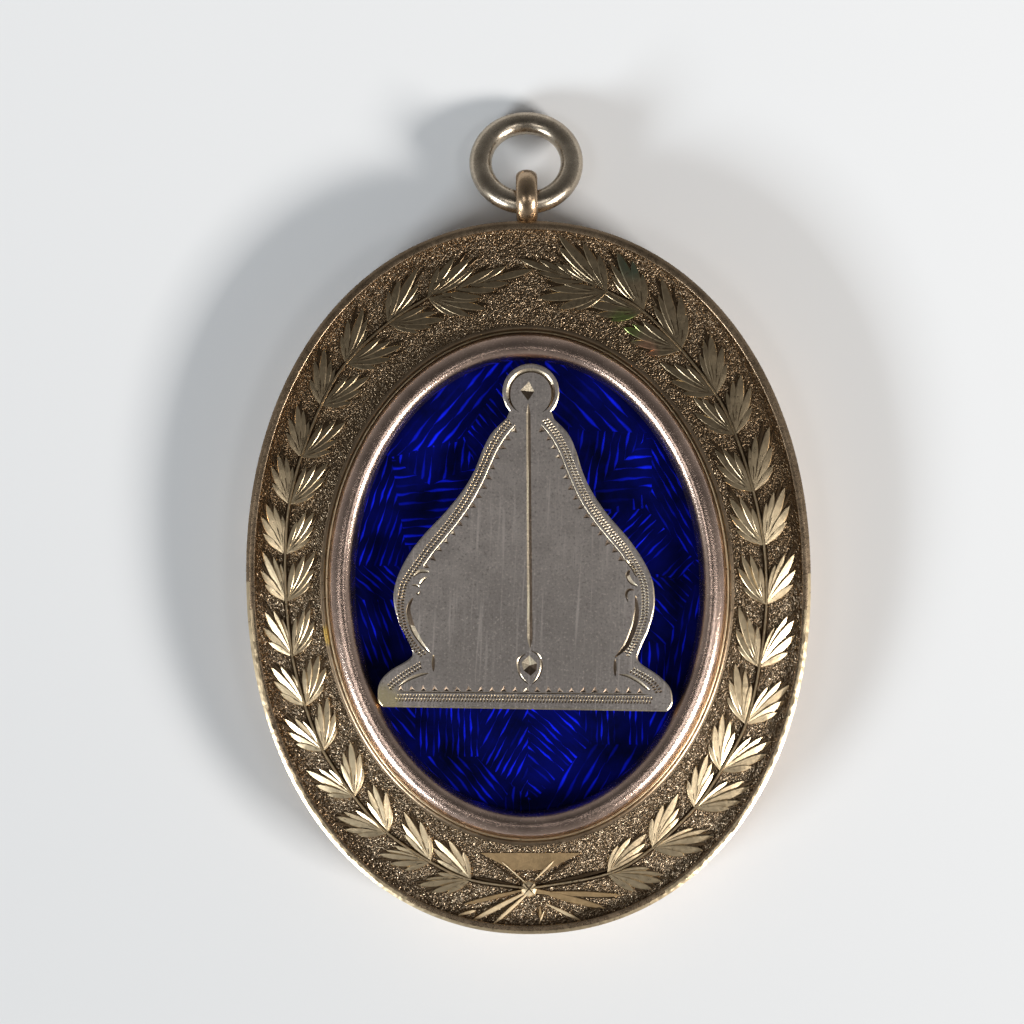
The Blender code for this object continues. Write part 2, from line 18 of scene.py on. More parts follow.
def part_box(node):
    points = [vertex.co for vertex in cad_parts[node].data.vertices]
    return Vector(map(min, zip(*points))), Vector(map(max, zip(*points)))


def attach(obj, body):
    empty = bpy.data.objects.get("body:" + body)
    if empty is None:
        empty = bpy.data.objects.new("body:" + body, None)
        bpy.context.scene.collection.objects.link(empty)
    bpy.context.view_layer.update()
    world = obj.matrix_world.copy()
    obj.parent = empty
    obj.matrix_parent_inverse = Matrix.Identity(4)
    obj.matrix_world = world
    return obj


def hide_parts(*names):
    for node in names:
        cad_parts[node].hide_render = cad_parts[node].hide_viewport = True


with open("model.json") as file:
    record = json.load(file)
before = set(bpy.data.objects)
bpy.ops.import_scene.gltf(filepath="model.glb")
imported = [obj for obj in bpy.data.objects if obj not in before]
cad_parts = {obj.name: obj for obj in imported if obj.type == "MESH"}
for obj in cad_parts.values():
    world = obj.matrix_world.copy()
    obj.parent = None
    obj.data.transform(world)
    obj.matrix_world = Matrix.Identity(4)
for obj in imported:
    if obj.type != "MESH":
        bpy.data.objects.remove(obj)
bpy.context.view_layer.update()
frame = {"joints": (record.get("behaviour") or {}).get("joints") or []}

bl_info = {
    "name": "Collar jewel finisher",
    "version": (1, 0, 0),
    "blender": (4, 5, 0),
    "location": "3D View > Sidebar > Jewel",
    "description": "Dresses the fixed parts of an oval collar jewel with chased and enamelled surfaces",
    "category": "Object",
}

COLOUR = {"size": 3, "subtype": "COLOR"}

FRAME_LOW, FRAME_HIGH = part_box("frame")
BEZEL_LOW, BEZEL_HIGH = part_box("bezel")
PANEL_LOW, PANEL_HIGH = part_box("enamel_panel")
PLATE_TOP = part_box("plumb_plate")[1].z
BACK_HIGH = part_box("back_plate")[1]

# Sizes of the frame's oval body
BODY_HALF = Vector((FRAME_HIGH.x, -FRAME_LOW.y))
BODY_FULLNESS = 2.12
BODY_OVAL = (BODY_HALF, Vector((0, 0)), BODY_FULLNESS)
BODY_DEPTH = 0.0080
WALL = 0.0015
SHEET = 0.0010
EDGE_BREAK = 0.0004
RIM_WIDTH = 0.00105
RIM_BEVEL = 0.00028
CHAMFER = 0.00038
CHAMFER_TILT = math.radians(32)
FIELD_EDGE = 0.0070
FIELD_TOP = 0.0079
COLLAR_TOP = 0.0086
COLLAR_WIDTH = 0.00065
LINE_WIDTH = 0.00035
REBATE = 0.0007
BACK_GAP = 0.0003
LEDGE_REACH = 0.0008
LEDGE_TOP = 0.0051

# The rim's wear: how far its points move, the Y below which it starts, and the shares of the field's width
# past which points and faces are worn. The worn faces on the lower half take the brighter leaf gilt, which
# is partly wear and partly a painted highlight along the lower edge
RIM_NICK = 0.00004
WORN_BELOW = -0.006
WORN_POINT = 1.06
WORN_LIT_FACE = 1.055
RIM_SEED = 3
# The share of the field's width up to which the collar's hollow takes the darker collar gilt, as painted
# shade
COLLAR_SHADE_REACH = 0.1

# Sizes round the window
BEAD_WIDTH = 0.00305
BEAD_RISE = 0.0026
BEZEL_WALL = 0.0010
FIT_GAP = 0.0003
BEAD_SPREAD = 0.00027
BEAD_CREST = 0.0016
BEAD_SHOULDER = 0.0014
WINDOW_CENTRE = (BEZEL_LOW.xy + BEZEL_HIGH.xy) / 2
WINDOW_HALF = (BEZEL_HIGH.xy - BEZEL_LOW.xy) / 2 - Vector((BEAD_WIDTH, BEAD_WIDTH))
PANEL_GROW = BEAD_WIDTH - BEZEL_WALL - FIT_GAP
SEAT_GROW = BEAD_WIDTH + FIT_GAP
BAND_GROW = SEAT_GROW + LINE_WIDTH + COLLAR_WIDTH
WINDOW_OVAL = (WINDOW_HALF, WINDOW_CENTRE, 2.0)

# The plumb plate in its own flat frame, which starts at the middle of its base
PLATE_THICKNESS = 0.0010
PLATE_PLACE = Vector((-0.0006, -0.0164))
PLATE_LEAN = math.radians(-1.78)
PLATE_HEIGHT = 0.0431
PLATE_HALF_WIDTH = 0.0183
FINIAL_RADIUS = 0.00354
FINIAL_CENTRE = Vector((0.0, PLATE_HEIGHT - FINIAL_RADIUS))

# The ring and its loop
SWING = Vector(frame["joints"][0]["pos_m"])
RING_WIRE = 0.00284
RING_RADIUS = 0.00575
RING_TILT = math.radians(24.5)
LOOP_WIDTH = 0.0027
LOOP_WIRE = 0.00165
LOOP_HOLE = 0.00187
LOOP_START = 0.0442
LOOP_END = FRAME_HIGH.y

# The photograph's view: a pixel's size on the jewel's front, and where its middle falls
PIXEL = 0.000125
PHOTO_MIDDLE = 512
CAMERA_PLACE = Vector((-0.001938, 0.008220, 0.508))
CAMERA_TURN = math.radians(-0.85)
SENSOR = 36.0
LENS = 140.625

# Where each pair of leaves springs from its stem, from the bow up, in photo pixels
LEFT_STEM = ((470, 880), (430, 862), (387, 833), (354, 797), (323, 751), (305, 706), (292, 656), (286, 601),
             (285, 554), (289, 504), (301, 457), (321, 405), (346, 363), (388, 323), (428, 297))
RIGHT_STEM = ((608, 874), (653, 848), (695, 808), (721, 771), (746, 724), (759.5, 667), (766.5, 604),
              (764, 545), (753.5, 491), (735.5, 434), (716, 394), (681, 349), (643, 311), (607, 291))
LEFT_TIP = (530, 269)
RIGHT_TIP = (521, 259)
KNOT = (529, 889)

# The branches: leaf lengths, and how far each side's leaves turn from the stem's heading
BRANCHES = (
    {"name": "left", "stem": LEFT_STEM, "tip": LEFT_TIP, "side": -1, "outer": 0.0063, "inner": 0.0066,
     "outer_turn": math.radians(24), "inner_turn": math.radians(35)},
    {"name": "right", "stem": RIGHT_STEM, "tip": RIGHT_TIP, "side": 1, "outer": 0.0075, "inner": 0.0070,
     "outer_turn": math.radians(29), "inner_turn": math.radians(31)},
)
TOP_GROWTH = 0.25

# How much hand work differs: the least and the most that a random draw gives
BRANCH_SEED = 5
LEAF_LENGTHS = (0.95, 1.05)
LOBE_TURNS = (-1.5, 1.5)
LOBE_CURVES = (0.6, 1.4)
LOBE_LEANS = (0.5, 1.5)
LOBE_LENGTHS = (0.94, 1.06)
LOBE_WIDTHS = (0.92, 1.08)
LOBE_RELIEFS = (0.94, 1.06)
GOUGE_LENGTHS = (0.8, 1.25)
GOUGE_WIDTHS = (0.7, 1.2)
NICK_SIZES = (0.75, 1.0)
NICK_TILTS = (-0.4, 0.4)

# A blade's section from side to side, as shares of its half width and relief, and its ends' width
BLADE_PROFILE = ((-1.0, -0.5), (-0.92, 0.74), (-0.74, 0.97), (0.0, 1.0), (0.72, 0.97), (0.90, 0.70),
                 (1.0, -0.5))
BLADE_FOOT = 0.16
BLADE_TIP = 0.04
SHORTEST_STROKE = 0.0005

# A leaf's lobes: turn in degrees, then length, width and start as shares of the leaf's length, and bend
LOBES = (
    # turn, length, width, start, bend
    (-23, 0.66, 0.115, 0.06, 0.04),
    (-12, 0.86, 0.130, 0.04, 0.02),
    (0, 1.00, 0.160, 0.02, -0.03),
    (14, 0.80, 0.150, 0.00, -0.06),
    (28, 0.54, 0.130, 0.00, -0.08),
)
TIP_LOBES = (
    # turn, length, width, start, bend
    (-33, 0.34, 0.065, 0.00, 0.10),
    (-26, 0.36, 0.070, 0.14, 0.10),
    (-20, 0.38, 0.072, 0.28, 0.08),
    (-15, 0.38, 0.072, 0.42, 0.06),
    (0, 0.45, 0.080, 0.55, 0.00),
    (15, 0.38, 0.072, 0.42, -0.06),
    (20, 0.38, 0.072, 0.28, -0.08),
    (26, 0.36, 0.070, 0.14, -0.10),
    (33, 0.34, 0.065, 0.00, -0.10),
)

# The seams and the dark strokes between lobes, painted shadow standing in for the shade in the cuts: start
# and reach as shares of the shorter lobe, width, relief
SEAM_START = 0.22
SEAM_REACH = 0.40
SEAM_WIDTH = 0.00015
SEAM_RELIEF = 1.16
GOUGE_START = 0.52
GOUGE_REACH = 0.66
GOUGE_WIDTH = 0.00046

# The stems, and the dark borders along them, painted shade beside the raised stems
STEM_WIDTH = 0.00017
STEM_LIFT = 0.00026
BORDER_WIDTH = 2.1 * STEM_WIDTH
STEM_ANGLE = math.radians(50)

# Between which Y the wreath's colour is painted darker towards the top as shade, how much more the lower
# leaves lean, and the field's free margin
TOP_SHADE_LOW, TOP_SHADE_HIGH = 0.004, 0.017
LOW_LEAN = 2.2
FIELD_MARGIN = 0.035

# The ground's dirt in its pits, its painted shade at the foot of the raised pieces and towards the top, and
# its grain
GROUND_SEED = 11
DIRT_AND_SHADE = 0.9
DIRT_SLOPE = 1.8
SHADE_REACH = 0.00045
SHADE_LIFT = 0.00002
GRAIN_SCALE = 6000
GROUND_TOP_SHADE = 0.4
SPOT_CORE = 0.4

# Stains of the gilding: photo pixel, reach, colour
LEAF_STAINS = (
    ((624, 326), 0.0028, (0.26, 0.36, 0.10)),
    ((634, 262), 0.0030, (0.16, 0.22, 0.15)),
    ((646, 352), 0.0020, (0.75, 0.42, 0.26)),
)
COLLAR_STAINS = (
    ((328, 635), 0.0016, (0.80, 0.52, 0.12)),
)

# The gilded finishes
GILT_FINISHES = {
    # name: colour, its strength, roughness, low and high of the brown patches, stains, painted shade towards
    # the top
    "worn_gilt": ("gilt", 1.0, 0.27, 0.38, 0.66, (), 0.0),
    # a darkened copy of the gilt: painted shade in the collar's hollow
    "collar_gilt": ("gilt", 0.7, 0.30, 0.38, 0.66, COLLAR_STAINS, 0.0),
    # the leaves' gilt is painted darker towards the top, as shade
    "polished_gilt": ("leaf", 1.0, 0.31, 0.5, 0.9, LEAF_STAINS, 0.55),
    # a brightened copy of the leaf gilt: the painted highlight of the bow's lit strokes and knot
    "bow_gilt": ("leaf", 1.2, 0.46, 0.45, 0.8, (), 0.0),
    "bow_gold": ("bow_gold", 1.0, 0.40, 0.4, 0.75, (), 0.0),
    # painted shadow: the dark gilt of the strokes and seams between lobes, the stems' borders, the bow's
    # dark strokes and knot cuts
    "dark_gilt": ("patina_and_shade", 1.0, 0.34, 0.38, 0.66, (), 0.0),
    "back_gilt": ("gilt", 1.0, 0.34, 0.38, 0.66, (), 0.0),
    "ring_gilt": ("ring", 1.0, 0.27, 0.38, 0.66, (), 0.0),
}
FRAME_FINISHES = ("worn_gilt", "collar_gilt", "polished_gilt", "bow_gilt", "bow_gold", "dark_gilt")

# The plumb's finishes: name, roughness, and how its colour is lifted; the brighter one is a painted
# highlight on the cut facets that face the lamps, tinted warm, and the darker one painted shade on the other
# cut facets
SILVER_FINISHES = (
    ("satin_silver", 0.42, (1.0, 1.0, 1.0)),
    ("bright_cut", 0.34, (1.6, 1.5, 1.2)),
    ("dark_cut", 0.34, (0.40, 0.33, 0.26)),
)

# The bow's tones, lit and shaded copies of one gilt: painted highlight, plain gold and painted shade, with
# the relief and the lean of their strokes as shares of the leaves'
BOW_TONES = {"bright": (1.1, 1.9), "gold": (0.85, 1.0), "dark": (0.7, 0.0)}

# Strokes of the bow: both ends in photo pixels, breadth in metres, tone: painted highlight, gold or painted
# shade
BOW_STROKES = (
    ((529, 889), (479, 853), 0.00030, "dark"),
    ((527, 884), (502, 862), 0.00018, "bright"),
    ((529, 889), (578, 857), 0.00030, "dark"),
    ((535, 880), (554, 861), 0.00034, "bright"),
    ((529, 889), (472, 877), 0.00050, "dark"),
    ((529, 889), (612, 869), 0.00055, "dark"),
    ((531, 893), (622, 896), 0.00085, "gold"),
    ((533, 895), (622, 899), 0.00022, "dark"),
    ((529, 889), (463, 905), 0.00060, "gold"),
    ((524, 896), (476, 911), 0.00025, "dark"),
    ((529, 891), (471, 922), 0.00072, "bright"),
    ((527, 895), (484, 922), 0.00030, "dark"),
    ((531, 891), (491, 927), 0.00052, "bright"),
    ((531, 889), (606, 909), 0.00095, "gold"),
    ((585, 912), (606, 907), 0.00030, "dark"),
    ((546, 904), (582, 922), 0.00052, "bright"),
    ((540, 908), (541, 921), 0.00042, "gold"),
    ((544, 912), (539, 925), 0.00025, "bright"),
    ((458, 916), (476, 911), 0.00050, "bright"),
)
KNOT_RADIUS = 0.0011
KNOT_FLATNESS = 0.3
KNOT_LIFT = 0.0001
KNOT_CUTS = (math.radians(48), math.radians(132))
KNOT_CUT_LENGTH = 0.0020
KNOT_CUT_WIDTH = 0.00022
KNOT_CUT_RISE = 0.00048
BOW_BAND = ((480, 853), (581, 853), (548, 870), (512, 870))
BAND_LIFT = 0.00016

# Half the plumb plate's outline as shares of its height and of half its width
PLATE_PROFILE = (
    # height, right, left
    (0.000, 0.962, 0.975),
    (0.014, 0.990, 1.002),
    (0.032, 1.000, 1.010),
    (0.070, 0.980, 0.998),
    (0.104, 0.900, 0.930),
    (0.136, 0.785, 0.810),
    (0.156, 0.757, 0.776),
    (0.192, 0.785, 0.808),
    (0.235, 0.828, 0.865),
    (0.290, 0.862, 0.905),
    (0.332, 0.866, 0.912),
    (0.383, 0.846, 0.882),
    (0.443, 0.775, 0.812),
    (0.503, 0.672, 0.707),
    (0.568, 0.535, 0.566),
    (0.633, 0.427, 0.448),
    (0.691, 0.360, 0.372),
    (0.747, 0.317, 0.322),
    (0.798, 0.261, 0.261),
    (0.842, 0.160, 0.160),
)

# The plumb's engraving, in photo pixels and metres
DARK_FOOT = (525, 680)
DARK_FOOT_REACH = 0.018
GILT_CORNER = (383, 703)
GILT_CORNER_REACH = 0.0030
GILT_TRACE = (0.60, 0.50, 0.25)
# Cut facets facing this side take the painted highlight, the others painted shade; a nick's facets need the
# next limit
LIT_SIDE = Vector((0.33, -0.944))
NICK_HIGHLIGHT_LIMIT = 0.85
PLATE_BEVEL = 0.00016
PLATE_BEVEL_DROP = 0.00009
MARK = ((520.3, 390.6), (529, 382), (534.2, 391.8), (528, 401))
MARK_DEEPEST = (527.8, 391.4)
LINE_TOP = (528.2, 403)
LINE_FOOT = (530.0, 649)
LINE_BREADTH = 0.00052
LINE_SWELL = 0.00016
SHOE_SHIFT = Vector((0.0, -0.0001))
SHOE_RADIUS = 0.00281
SHOE_BREADTH = 0.00054
SHOE_START, SHOE_SWEEP, SHOE_STEPS = -60, 300, 40
BOB = ((529, 655), (521.5, 662), (523.5, 670), (530.5, 675.5), (536.5, 670), (537, 663))
BOB_DEEPEST = (529.5, 665)
BOB_SIDES = (
    ((526, 653), (519.5, 658), (518, 665), (521, 676), (529, 684.5)),
    ((531, 650), (538.5, 655), (541.5, 665), (538, 677), (531.5, 684.5)),
)
BOB_SIDE_BREADTH = 0.00034
PLATE_CUTS = (
    # the long cuts inside the bell's foot
    (((413.5, 597), (409, 606), (409, 615), (414, 630), (422, 643), (431, 654)), 0.00066),
    (((635.3, 595), (636.4, 606), (635.9, 615), (633.4, 627), (627, 643), (621, 651),
      (614.3, 657.4)), 0.00072),
    # the leaf-like cuts above them
    (((413, 577), (420, 571), (430, 572)), 0.00050),
    (((419.5, 585), (423, 580), (427, 576.5)), 0.00040),
    (((411.5, 585), (416.5, 585), (420.5, 588)), 0.00030),
    (((416, 592.5), (418.5, 594), (420.7, 590.5)), 0.00025),
    (((623.3, 557.9), (632, 567.5), (636.5, 577.4)), 0.00042),
    (((629.6, 569.4), (627.3, 575), (631, 582), (637.6, 586.3)), 0.00056),
    (((634.2, 589.8), (628.5, 589.8), (626, 594.5), (627.8, 602)), 0.00036),
    # the cuts inside the feet
    (((397, 687.5), (408, 679.5), (420, 674.5), (429, 673)), 0.00042),
    (((618.5, 674.2), (627, 675.4), (637.6, 680.5), (645, 686.6), (650.3, 690.8)), 0.00042),
    # the upright cuts where bell and feet meet
    (((433.6, 654), (433.6, 662), (433.6, 671.5)), 0.00040),
    (((614.9, 658.5), (614.8, 667), (614.9, 676.2)), 0.00040),
)
BELL_BANDS = (
    ((511, 420.5), (500.5, 433.5), (491, 449), (483.8, 465), (476, 482), (466, 500), (453.5, 518),
     (441, 533.5), (429, 548), (417.9, 563.4), (410.4, 573.8), (404.7, 583), (401.8, 594.4), (400.7, 605.9),
     (401.8, 617.4), (404.7, 628.9), (409.8, 639.2), (416.7, 648.4), (424.2, 655.3)),
    ((625.6, 655.3), (632.5, 645.5), (638, 634.5), (643.1, 619.9), (644.5, 612.4), (645, 599.5),
     (644, 586.6), (641.7, 578), (637.6, 569.4), (631.3, 558.4), (624.2, 548), (612, 533.5), (599.6, 518),
     (587.3, 500), (578.4, 482), (571.3, 465), (564.8, 449), (556, 433.5), (545.6, 420.5)),
)
FOOT_BANDS = (
    ((422.5, 663.9), (413.3, 669.1), (404.1, 674.8), (394.9, 681.7), (389.2, 687.4)),
    ((630.2, 669), (641.7, 675.4), (649.5, 680.3), (655, 686), (659, 693)),
)
THREAD_HIGH, THREAD_LOW = 420, 566
THREAD_SHIFT = 0.00078
THREAD_BREADTH = 0.00016
NICK_PITCH = 0.00136
NICK_HALF = 0.00042
NICK_REACH = 0.00078
NICK_DEEPEST = 0.4
BASE_LEFT = (395.5, 691.4)
BASE_RIGHT = (651, 694)
BASE_NICK_PITCH = 0.00142
BASE_BAND = 0.00074
MILL_PITCH = 0.00039
MILL_ROW = 0.00024
MILL_HOOK = 0.00009
MILL_LENGTH = 0.00050
MILL_BREADTH = 0.00026
MILL_BEND = 0.4

# How deep each kind of cut goes, as a share of the graver's cut, and how far its deepest line lies aside
MARK_SHARE = 0.7
LINE_SHARE, LINE_SKEW = 0.35, -0.1
LEAF_CUT_SHARE = 0.6
BAND_SHARE, MILL_SKEW = 0.5, 0.3
NICK_SHARE = 0.25
THREAD_SHARE = 0.7
BASE_SHARE = 0.4
SHOE_SKEW = 0.55

# Fans of flutes under the enamel: corners in photo pixels, the flutes' direction and their pitch in pixels
FANS = (
    (((391, 457), (464, 437), (492, 395), (520, 350), (420, 330), (340, 440)), 50, 13.5),
    (((464, 437), (492, 395), (520, 350), (545, 350), (545, 420), (476, 465)), 130, 9),
    (((391, 457), (464, 440), (476, 465), (430, 485)), 82, 11.5),
    (((391, 457), (430, 485), (476, 465), (470, 560), (405, 545)), 4, 13),
    (((340, 440), (391, 457), (405, 545), (400, 566), (340, 566)), 72, 10),
    (((340, 566), (400, 566), (420, 600), (340, 600)), 140, 10),
    (((340, 600), (420, 600), (420, 708), (340, 708)), 110, 10),
    (((545, 350), (720, 400), (652, 433), (583, 430), (545, 420)), 135, 15),
    (((583, 430), (652, 433), (595, 490), (570, 470)), 80, 11.5),
    (((652, 433), (652, 490), (600, 515), (595, 490)), 3, 15),
    (((652, 433), (720, 400), (720, 530), (695, 560), (645, 508), (652, 490)), 120, 10),
    (((645, 508), (695, 560), (680, 580), (600, 560), (600, 515)), 45, 9.5),
    (((695, 560), (720, 560), (693, 588), (666, 645), (640, 640), (640, 575), (680, 580)), 135, 9.5),
    (((693, 588), (720, 560), (720, 708), (666, 708), (666, 645)), 80, 10),
    (((340, 708), (415, 708), (415, 757), (475, 757), (515, 787), (475, 830), (340, 800)), 130, 11),
    (((415, 708), (480, 708), (480, 757), (415, 757)), 90, 9.5),
    (((480, 708), (528, 708), (528, 800), (515, 787), (475, 757), (480, 757)), 62, 9.5),
    (((528, 708), (577, 708), (590, 745), (535, 800), (528, 800)), 138, 9.5),
    (((577, 708), (650, 708), (650, 745), (590, 745)), 90, 8.5),
    (((590, 745), (650, 745), (650, 708), (720, 708), (640, 830), (535, 840), (535, 800)), 60, 14),
)

# The soft boxes, with directions in degrees
LAMP_DISTANCE = 1.3
LAMPS = (
    {"name": "low_left", "azimuth": 217, "elevation": 23.5, "breadth": 0.42, "height": 0.26, "power": 12.4,
     "colour": (0.93, 1.0, 1.06)},
    {"name": "low_right", "azimuth": -32, "elevation": 27.5, "breadth": 0.42, "height": 0.25, "power": 17.2,
     "colour": (1.03, 1.0, 0.965)},
    {"name": "high_left", "azimuth": 208, "elevation": 66, "breadth": 0.34, "height": 0.26, "power": 1.05,
     "colour": (1.0, 1.0, 1.0)},
    {"name": "high_right", "azimuth": -27, "elevation": 66, "breadth": 0.34, "height": 0.26, "power": 1.05,
     "colour": (1.0, 1.0, 1.0)},
)

# The floor's painted light and shade: how its colour darkens across the picture towards the lower left, and
# its two ends
FLOOR_SHADE_SLOPE = (("X", 2.5), ("Y", 6.5))
FLOOR_SHADED = (0.68, 0.685, 0.69)
FLOOR_LIT = (0.93, 0.935, 0.94)

# The painted highlights of the flutes under the enamel, bright strokes where the cuts would catch the lamps:
# how many to each pitch along and across a fan, breadth and waver, how far rows and fans are shifted against
# each other, and the direction and pitch between the fans
HIGHLIGHT_RATE = 0.30
FLUTE_RATE = 1.5
HIGHLIGHT_BREADTH = 0.18
FLUTE_WAVER = 0.6
ROW_SHIFT = 9.7
FAN_SHIFT = 7.3
PLAIN_FAN = (90, 12)

# Fineness of the forms
OVAL_SIDES = 840
GROUND_SIDES = 1180
GROUND_CUTS = 75
GROUND_DEPTH = 0.0002
BEZEL_SIDES = 360
BEAD_STEPS = 24
PATH_STEPS = 8
BLADE_STEPS = 9
PANEL_SIDES = 96
FINIAL_STEPS = 48
CUT_STEPS = 5
MERGE = 1e-6
CUT_MERGE = 1e-7
SMOOTH_ANGLE = math.radians(35)


class JewelSizes(bpy.types.PropertyGroup):
    """Sizes of the chased and engraved relief."""

    leaf_relief: bpy.props.FloatProperty(
        name="Leaf relief", description="How far the leaves stand above the matted ground",
        default=0.00028, unit="LENGTH")
    # The dark strokes round the leaves are painted shadow.
    shadow_gouge_relief: bpy.props.FloatProperty(
        name="Gouge relief", description="How far the dark strokes round the leaves stand above the ground",
        default=0.00013, unit="LENGTH")
    leaf_lean: bpy.props.FloatProperty(
        name="Leaf lean", description="How far each lobe's flat leans outwards",
        default=math.radians(8), unit="ROTATION")
    punch_depth: bpy.props.FloatProperty(
        name="Punch depth", description="Depth of the punch marks of the matted ground",
        default=0.000042, unit="LENGTH")
    cut_depth: bpy.props.FloatProperty(
        name="Cut depth", description="Depth of a graver's cut in the plumb plate",
        default=0.00022, unit="LENGTH")


class JewelColours(bpy.types.PropertyGroup):
    """Colours of the jewel's metals and enamel."""

    gilt: bpy.props.FloatVectorProperty(
        name="Gilt", description="Worn gilding of the body", default=(0.53, 0.385, 0.25), **COLOUR)
    ground: bpy.props.FloatVectorProperty(
        name="Ground", description="Gilding of the matted ground", default=(0.27, 0.21, 0.145), **COLOUR)
    leaf: bpy.props.FloatVectorProperty(
        name="Leaf", description="Polished gilding of the leaves", default=(0.80, 0.63, 0.40), **COLOUR)
    bow_gold: bpy.props.FloatVectorProperty(
        name="Bow gold", description="Gilding of the bow's strokes", default=(0.64, 0.44, 0.23), **COLOUR)
    # Also the colour of painted shade: in the cuts, at the foot of raised pieces and towards the top
    patina_and_shade: bpy.props.FloatVectorProperty(
        name="Patina", description="Dirt in the low places", default=(0.105, 0.07, 0.04), **COLOUR)
    ring: bpy.props.FloatVectorProperty(
        name="Ring", description="Silvery worn gilding of the ring", default=(0.52, 0.44, 0.34), **COLOUR)
    rose: bpy.props.FloatVectorProperty(
        name="Rose", description="Tarnished metal of the bezel", default=(0.72, 0.53, 0.43), **COLOUR)
    # The colour of the painted highlights, where the flutes would catch the lamps
    enamel: bpy.props.FloatVectorProperty(
        name="Enamel", description="Blue enamel over the lit cuts", default=(0.005, 0.016, 1.0), **COLOUR)
    deep: bpy.props.FloatVectorProperty(
        name="Deep enamel", description="Unlit enamel", default=(0.0005, 0.0012, 0.016), **COLOUR)
    silver: bpy.props.FloatVectorProperty(
        name="Silver", description="Tarnished silver of the plumb", default=(0.46, 0.41, 0.375), **COLOUR)


def place_of_pixel(pixel):
    """Flat place on the jewel's front of a photo pixel."""
    offset = Vector(((pixel[0] - PHOTO_MIDDLE) * PIXEL, (PHOTO_MIDDLE - pixel[1]) * PIXEL))
    return CAMERA_PLACE.xy + Matrix.Rotation(CAMERA_TURN, 2) @ offset


def read_pixels(pixels):
    """Flat places on the jewel's front of several photo pixels."""
    return [place_of_pixel(pixel) for pixel in pixels]


def polar(radius, angle):
    """A flat point at a radius and an angle from the origin."""
    return Vector((radius * math.cos(angle), radius * math.sin(angle)))


def heading_of(along):
    """Angle of a flat direction."""
    return math.atan2(along.y, along.x)


def left_of(along):
    """The flat direction square to another, on its left."""
    return Vector((-along.y, along.x))


def fuller(share, fullness):
    """A cosine or sine drawn out from a circle's to a fuller oval's."""
    return math.copysign(abs(share) ** (2 / fullness), share)


def window(angle, grow):
    """A point of the window's ellipse, let out by a distance."""
    reach = WINDOW_HALF + Vector((grow, grow))
    return WINDOW_CENTRE + Vector((reach.x * math.cos(angle), reach.y * math.sin(angle)))


def point_share(point):
    """Share of the field's width at a point, 0 at the collar and 1 at the rim."""
    angle = math.atan2((point.y - WINDOW_CENTRE.y) * BODY_HALF.x, (point.x - WINDOW_CENTRE.x) * BODY_HALF.y)
    outer = Vector(((BODY_HALF.x - RIM_WIDTH) * fuller(math.cos(angle), BODY_FULLNESS),
                    (BODY_HALF.y - RIM_WIDTH) * fuller(math.sin(angle), BODY_FULLNESS)))
    inner = window(angle, BAND_GROW)
    across = outer - inner
    return (point.xy - inner).dot(across) / across.length_squared


def field_height(point):
    """Height of the field's surface under a flat point, which falls from the collar to the rim."""
    return FIELD_TOP + (FIELD_EDGE - FIELD_TOP) * min(1.0, max(0.0, point_share(point)))


def counter_clockwise(corners):
    """The corners of a flat outline, in counter-clockwise order."""
    area = sum(a.cross(b) for a, b in zip(corners, corners[1:] + corners[:1]))
    return corners if area > 0 else corners[::-1]


def smooth_path(points, steps):
    """Points along a smooth curve through the given ones."""
    path = []
    ends = [2 * points[0] - points[1]] + list(points) + [2 * points[-1] - points[-2]]
    for before, start, end, after in zip(ends, ends[1:], ends[2:], ends[3:]):
        for i in range(steps):
            t = i / steps
            path.append(0.5 * (2 * start + (end - before) * t
                               + (2 * before - 5 * start + 4 * end - after) * t ** 2
                               + (3 * start - before - 3 * end + after) * t ** 3))
    return path + [points[-1]]


def arc_rows(centre, radius_across, radius_up, start, end, steps):
    """Rows of offset and height along an elliptic arc."""
    angles = [start + (end - start) * i / steps for i in range(steps + 1)]
    return [(centre[0] + radius_across * math.cos(a), centre[1] + radius_up * math.sin(a)) for a in angles]


def scaled(colour, share):
    """A colour made darker or brighter."""
    return [min(1.0, share * part) for part in colour]


def mixture(first, second, share):
    """A colour between two others."""
    return [(1 - share) * a + share * b for a, b in zip(first, second)]


def hold(*pieces):
    """Leave edit mode and make these the only selected pieces, the first of them active."""
    if bpy.context.mode != "OBJECT":
        bpy.ops.object.mode_set(mode="OBJECT")
    bpy.ops.object.select_all(action="DESELECT")
    for piece in pieces:
        piece.select_set(True)
    if pieces:
        bpy.context.view_layer.objects.active = pieces[0]


class Editing:
    """Edit mode on a piece, with all of it picked or only the points or edges that pass a test."""

    def __init__(self, piece, kind="EDGE", wanted=None):
        hold(piece)
        bpy.ops.object.mode_set(mode="EDIT")
        bpy.ops.mesh.select_mode(type=kind)
        bpy.ops.mesh.select_all(action="DESELECT" if wanted else "SELECT")
        if wanted:
            shape = bmesh.from_edit_mesh(piece.data)
            for part in (shape.verts if kind == "VERT" else shape.edges):
                if wanted(part):
                    part.select_set(True)
            shape.select_flush_mode()
            bmesh.update_edit_mesh(piece.data)

    def __enter__(self):
        return self

    def __exit__(self, *error):
        bpy.ops.object.mode_set(mode="OBJECT")


def is_open(edge):
    """Tell whether an edge borders an opening."""
    return edge.is_boundary


def extrude(rise):
    """Draw what is picked out along Z."""
    bpy.ops.mesh.extrude_region_move(TRANSFORM_OT_translate={"value": (0, 0, rise)})


def close_up(piece, smooth=None):
    """Merge doubled points, turn all faces outwards and shade smooth the ones that meet below an angle."""
    with Editing(piece):
        bpy.ops.mesh.remove_doubles(threshold=MERGE)
        bpy.ops.mesh.normals_make_consistent(inside=False)
    if smooth:
        bpy.ops.object.shade_smooth_by_angle(angle=smooth)


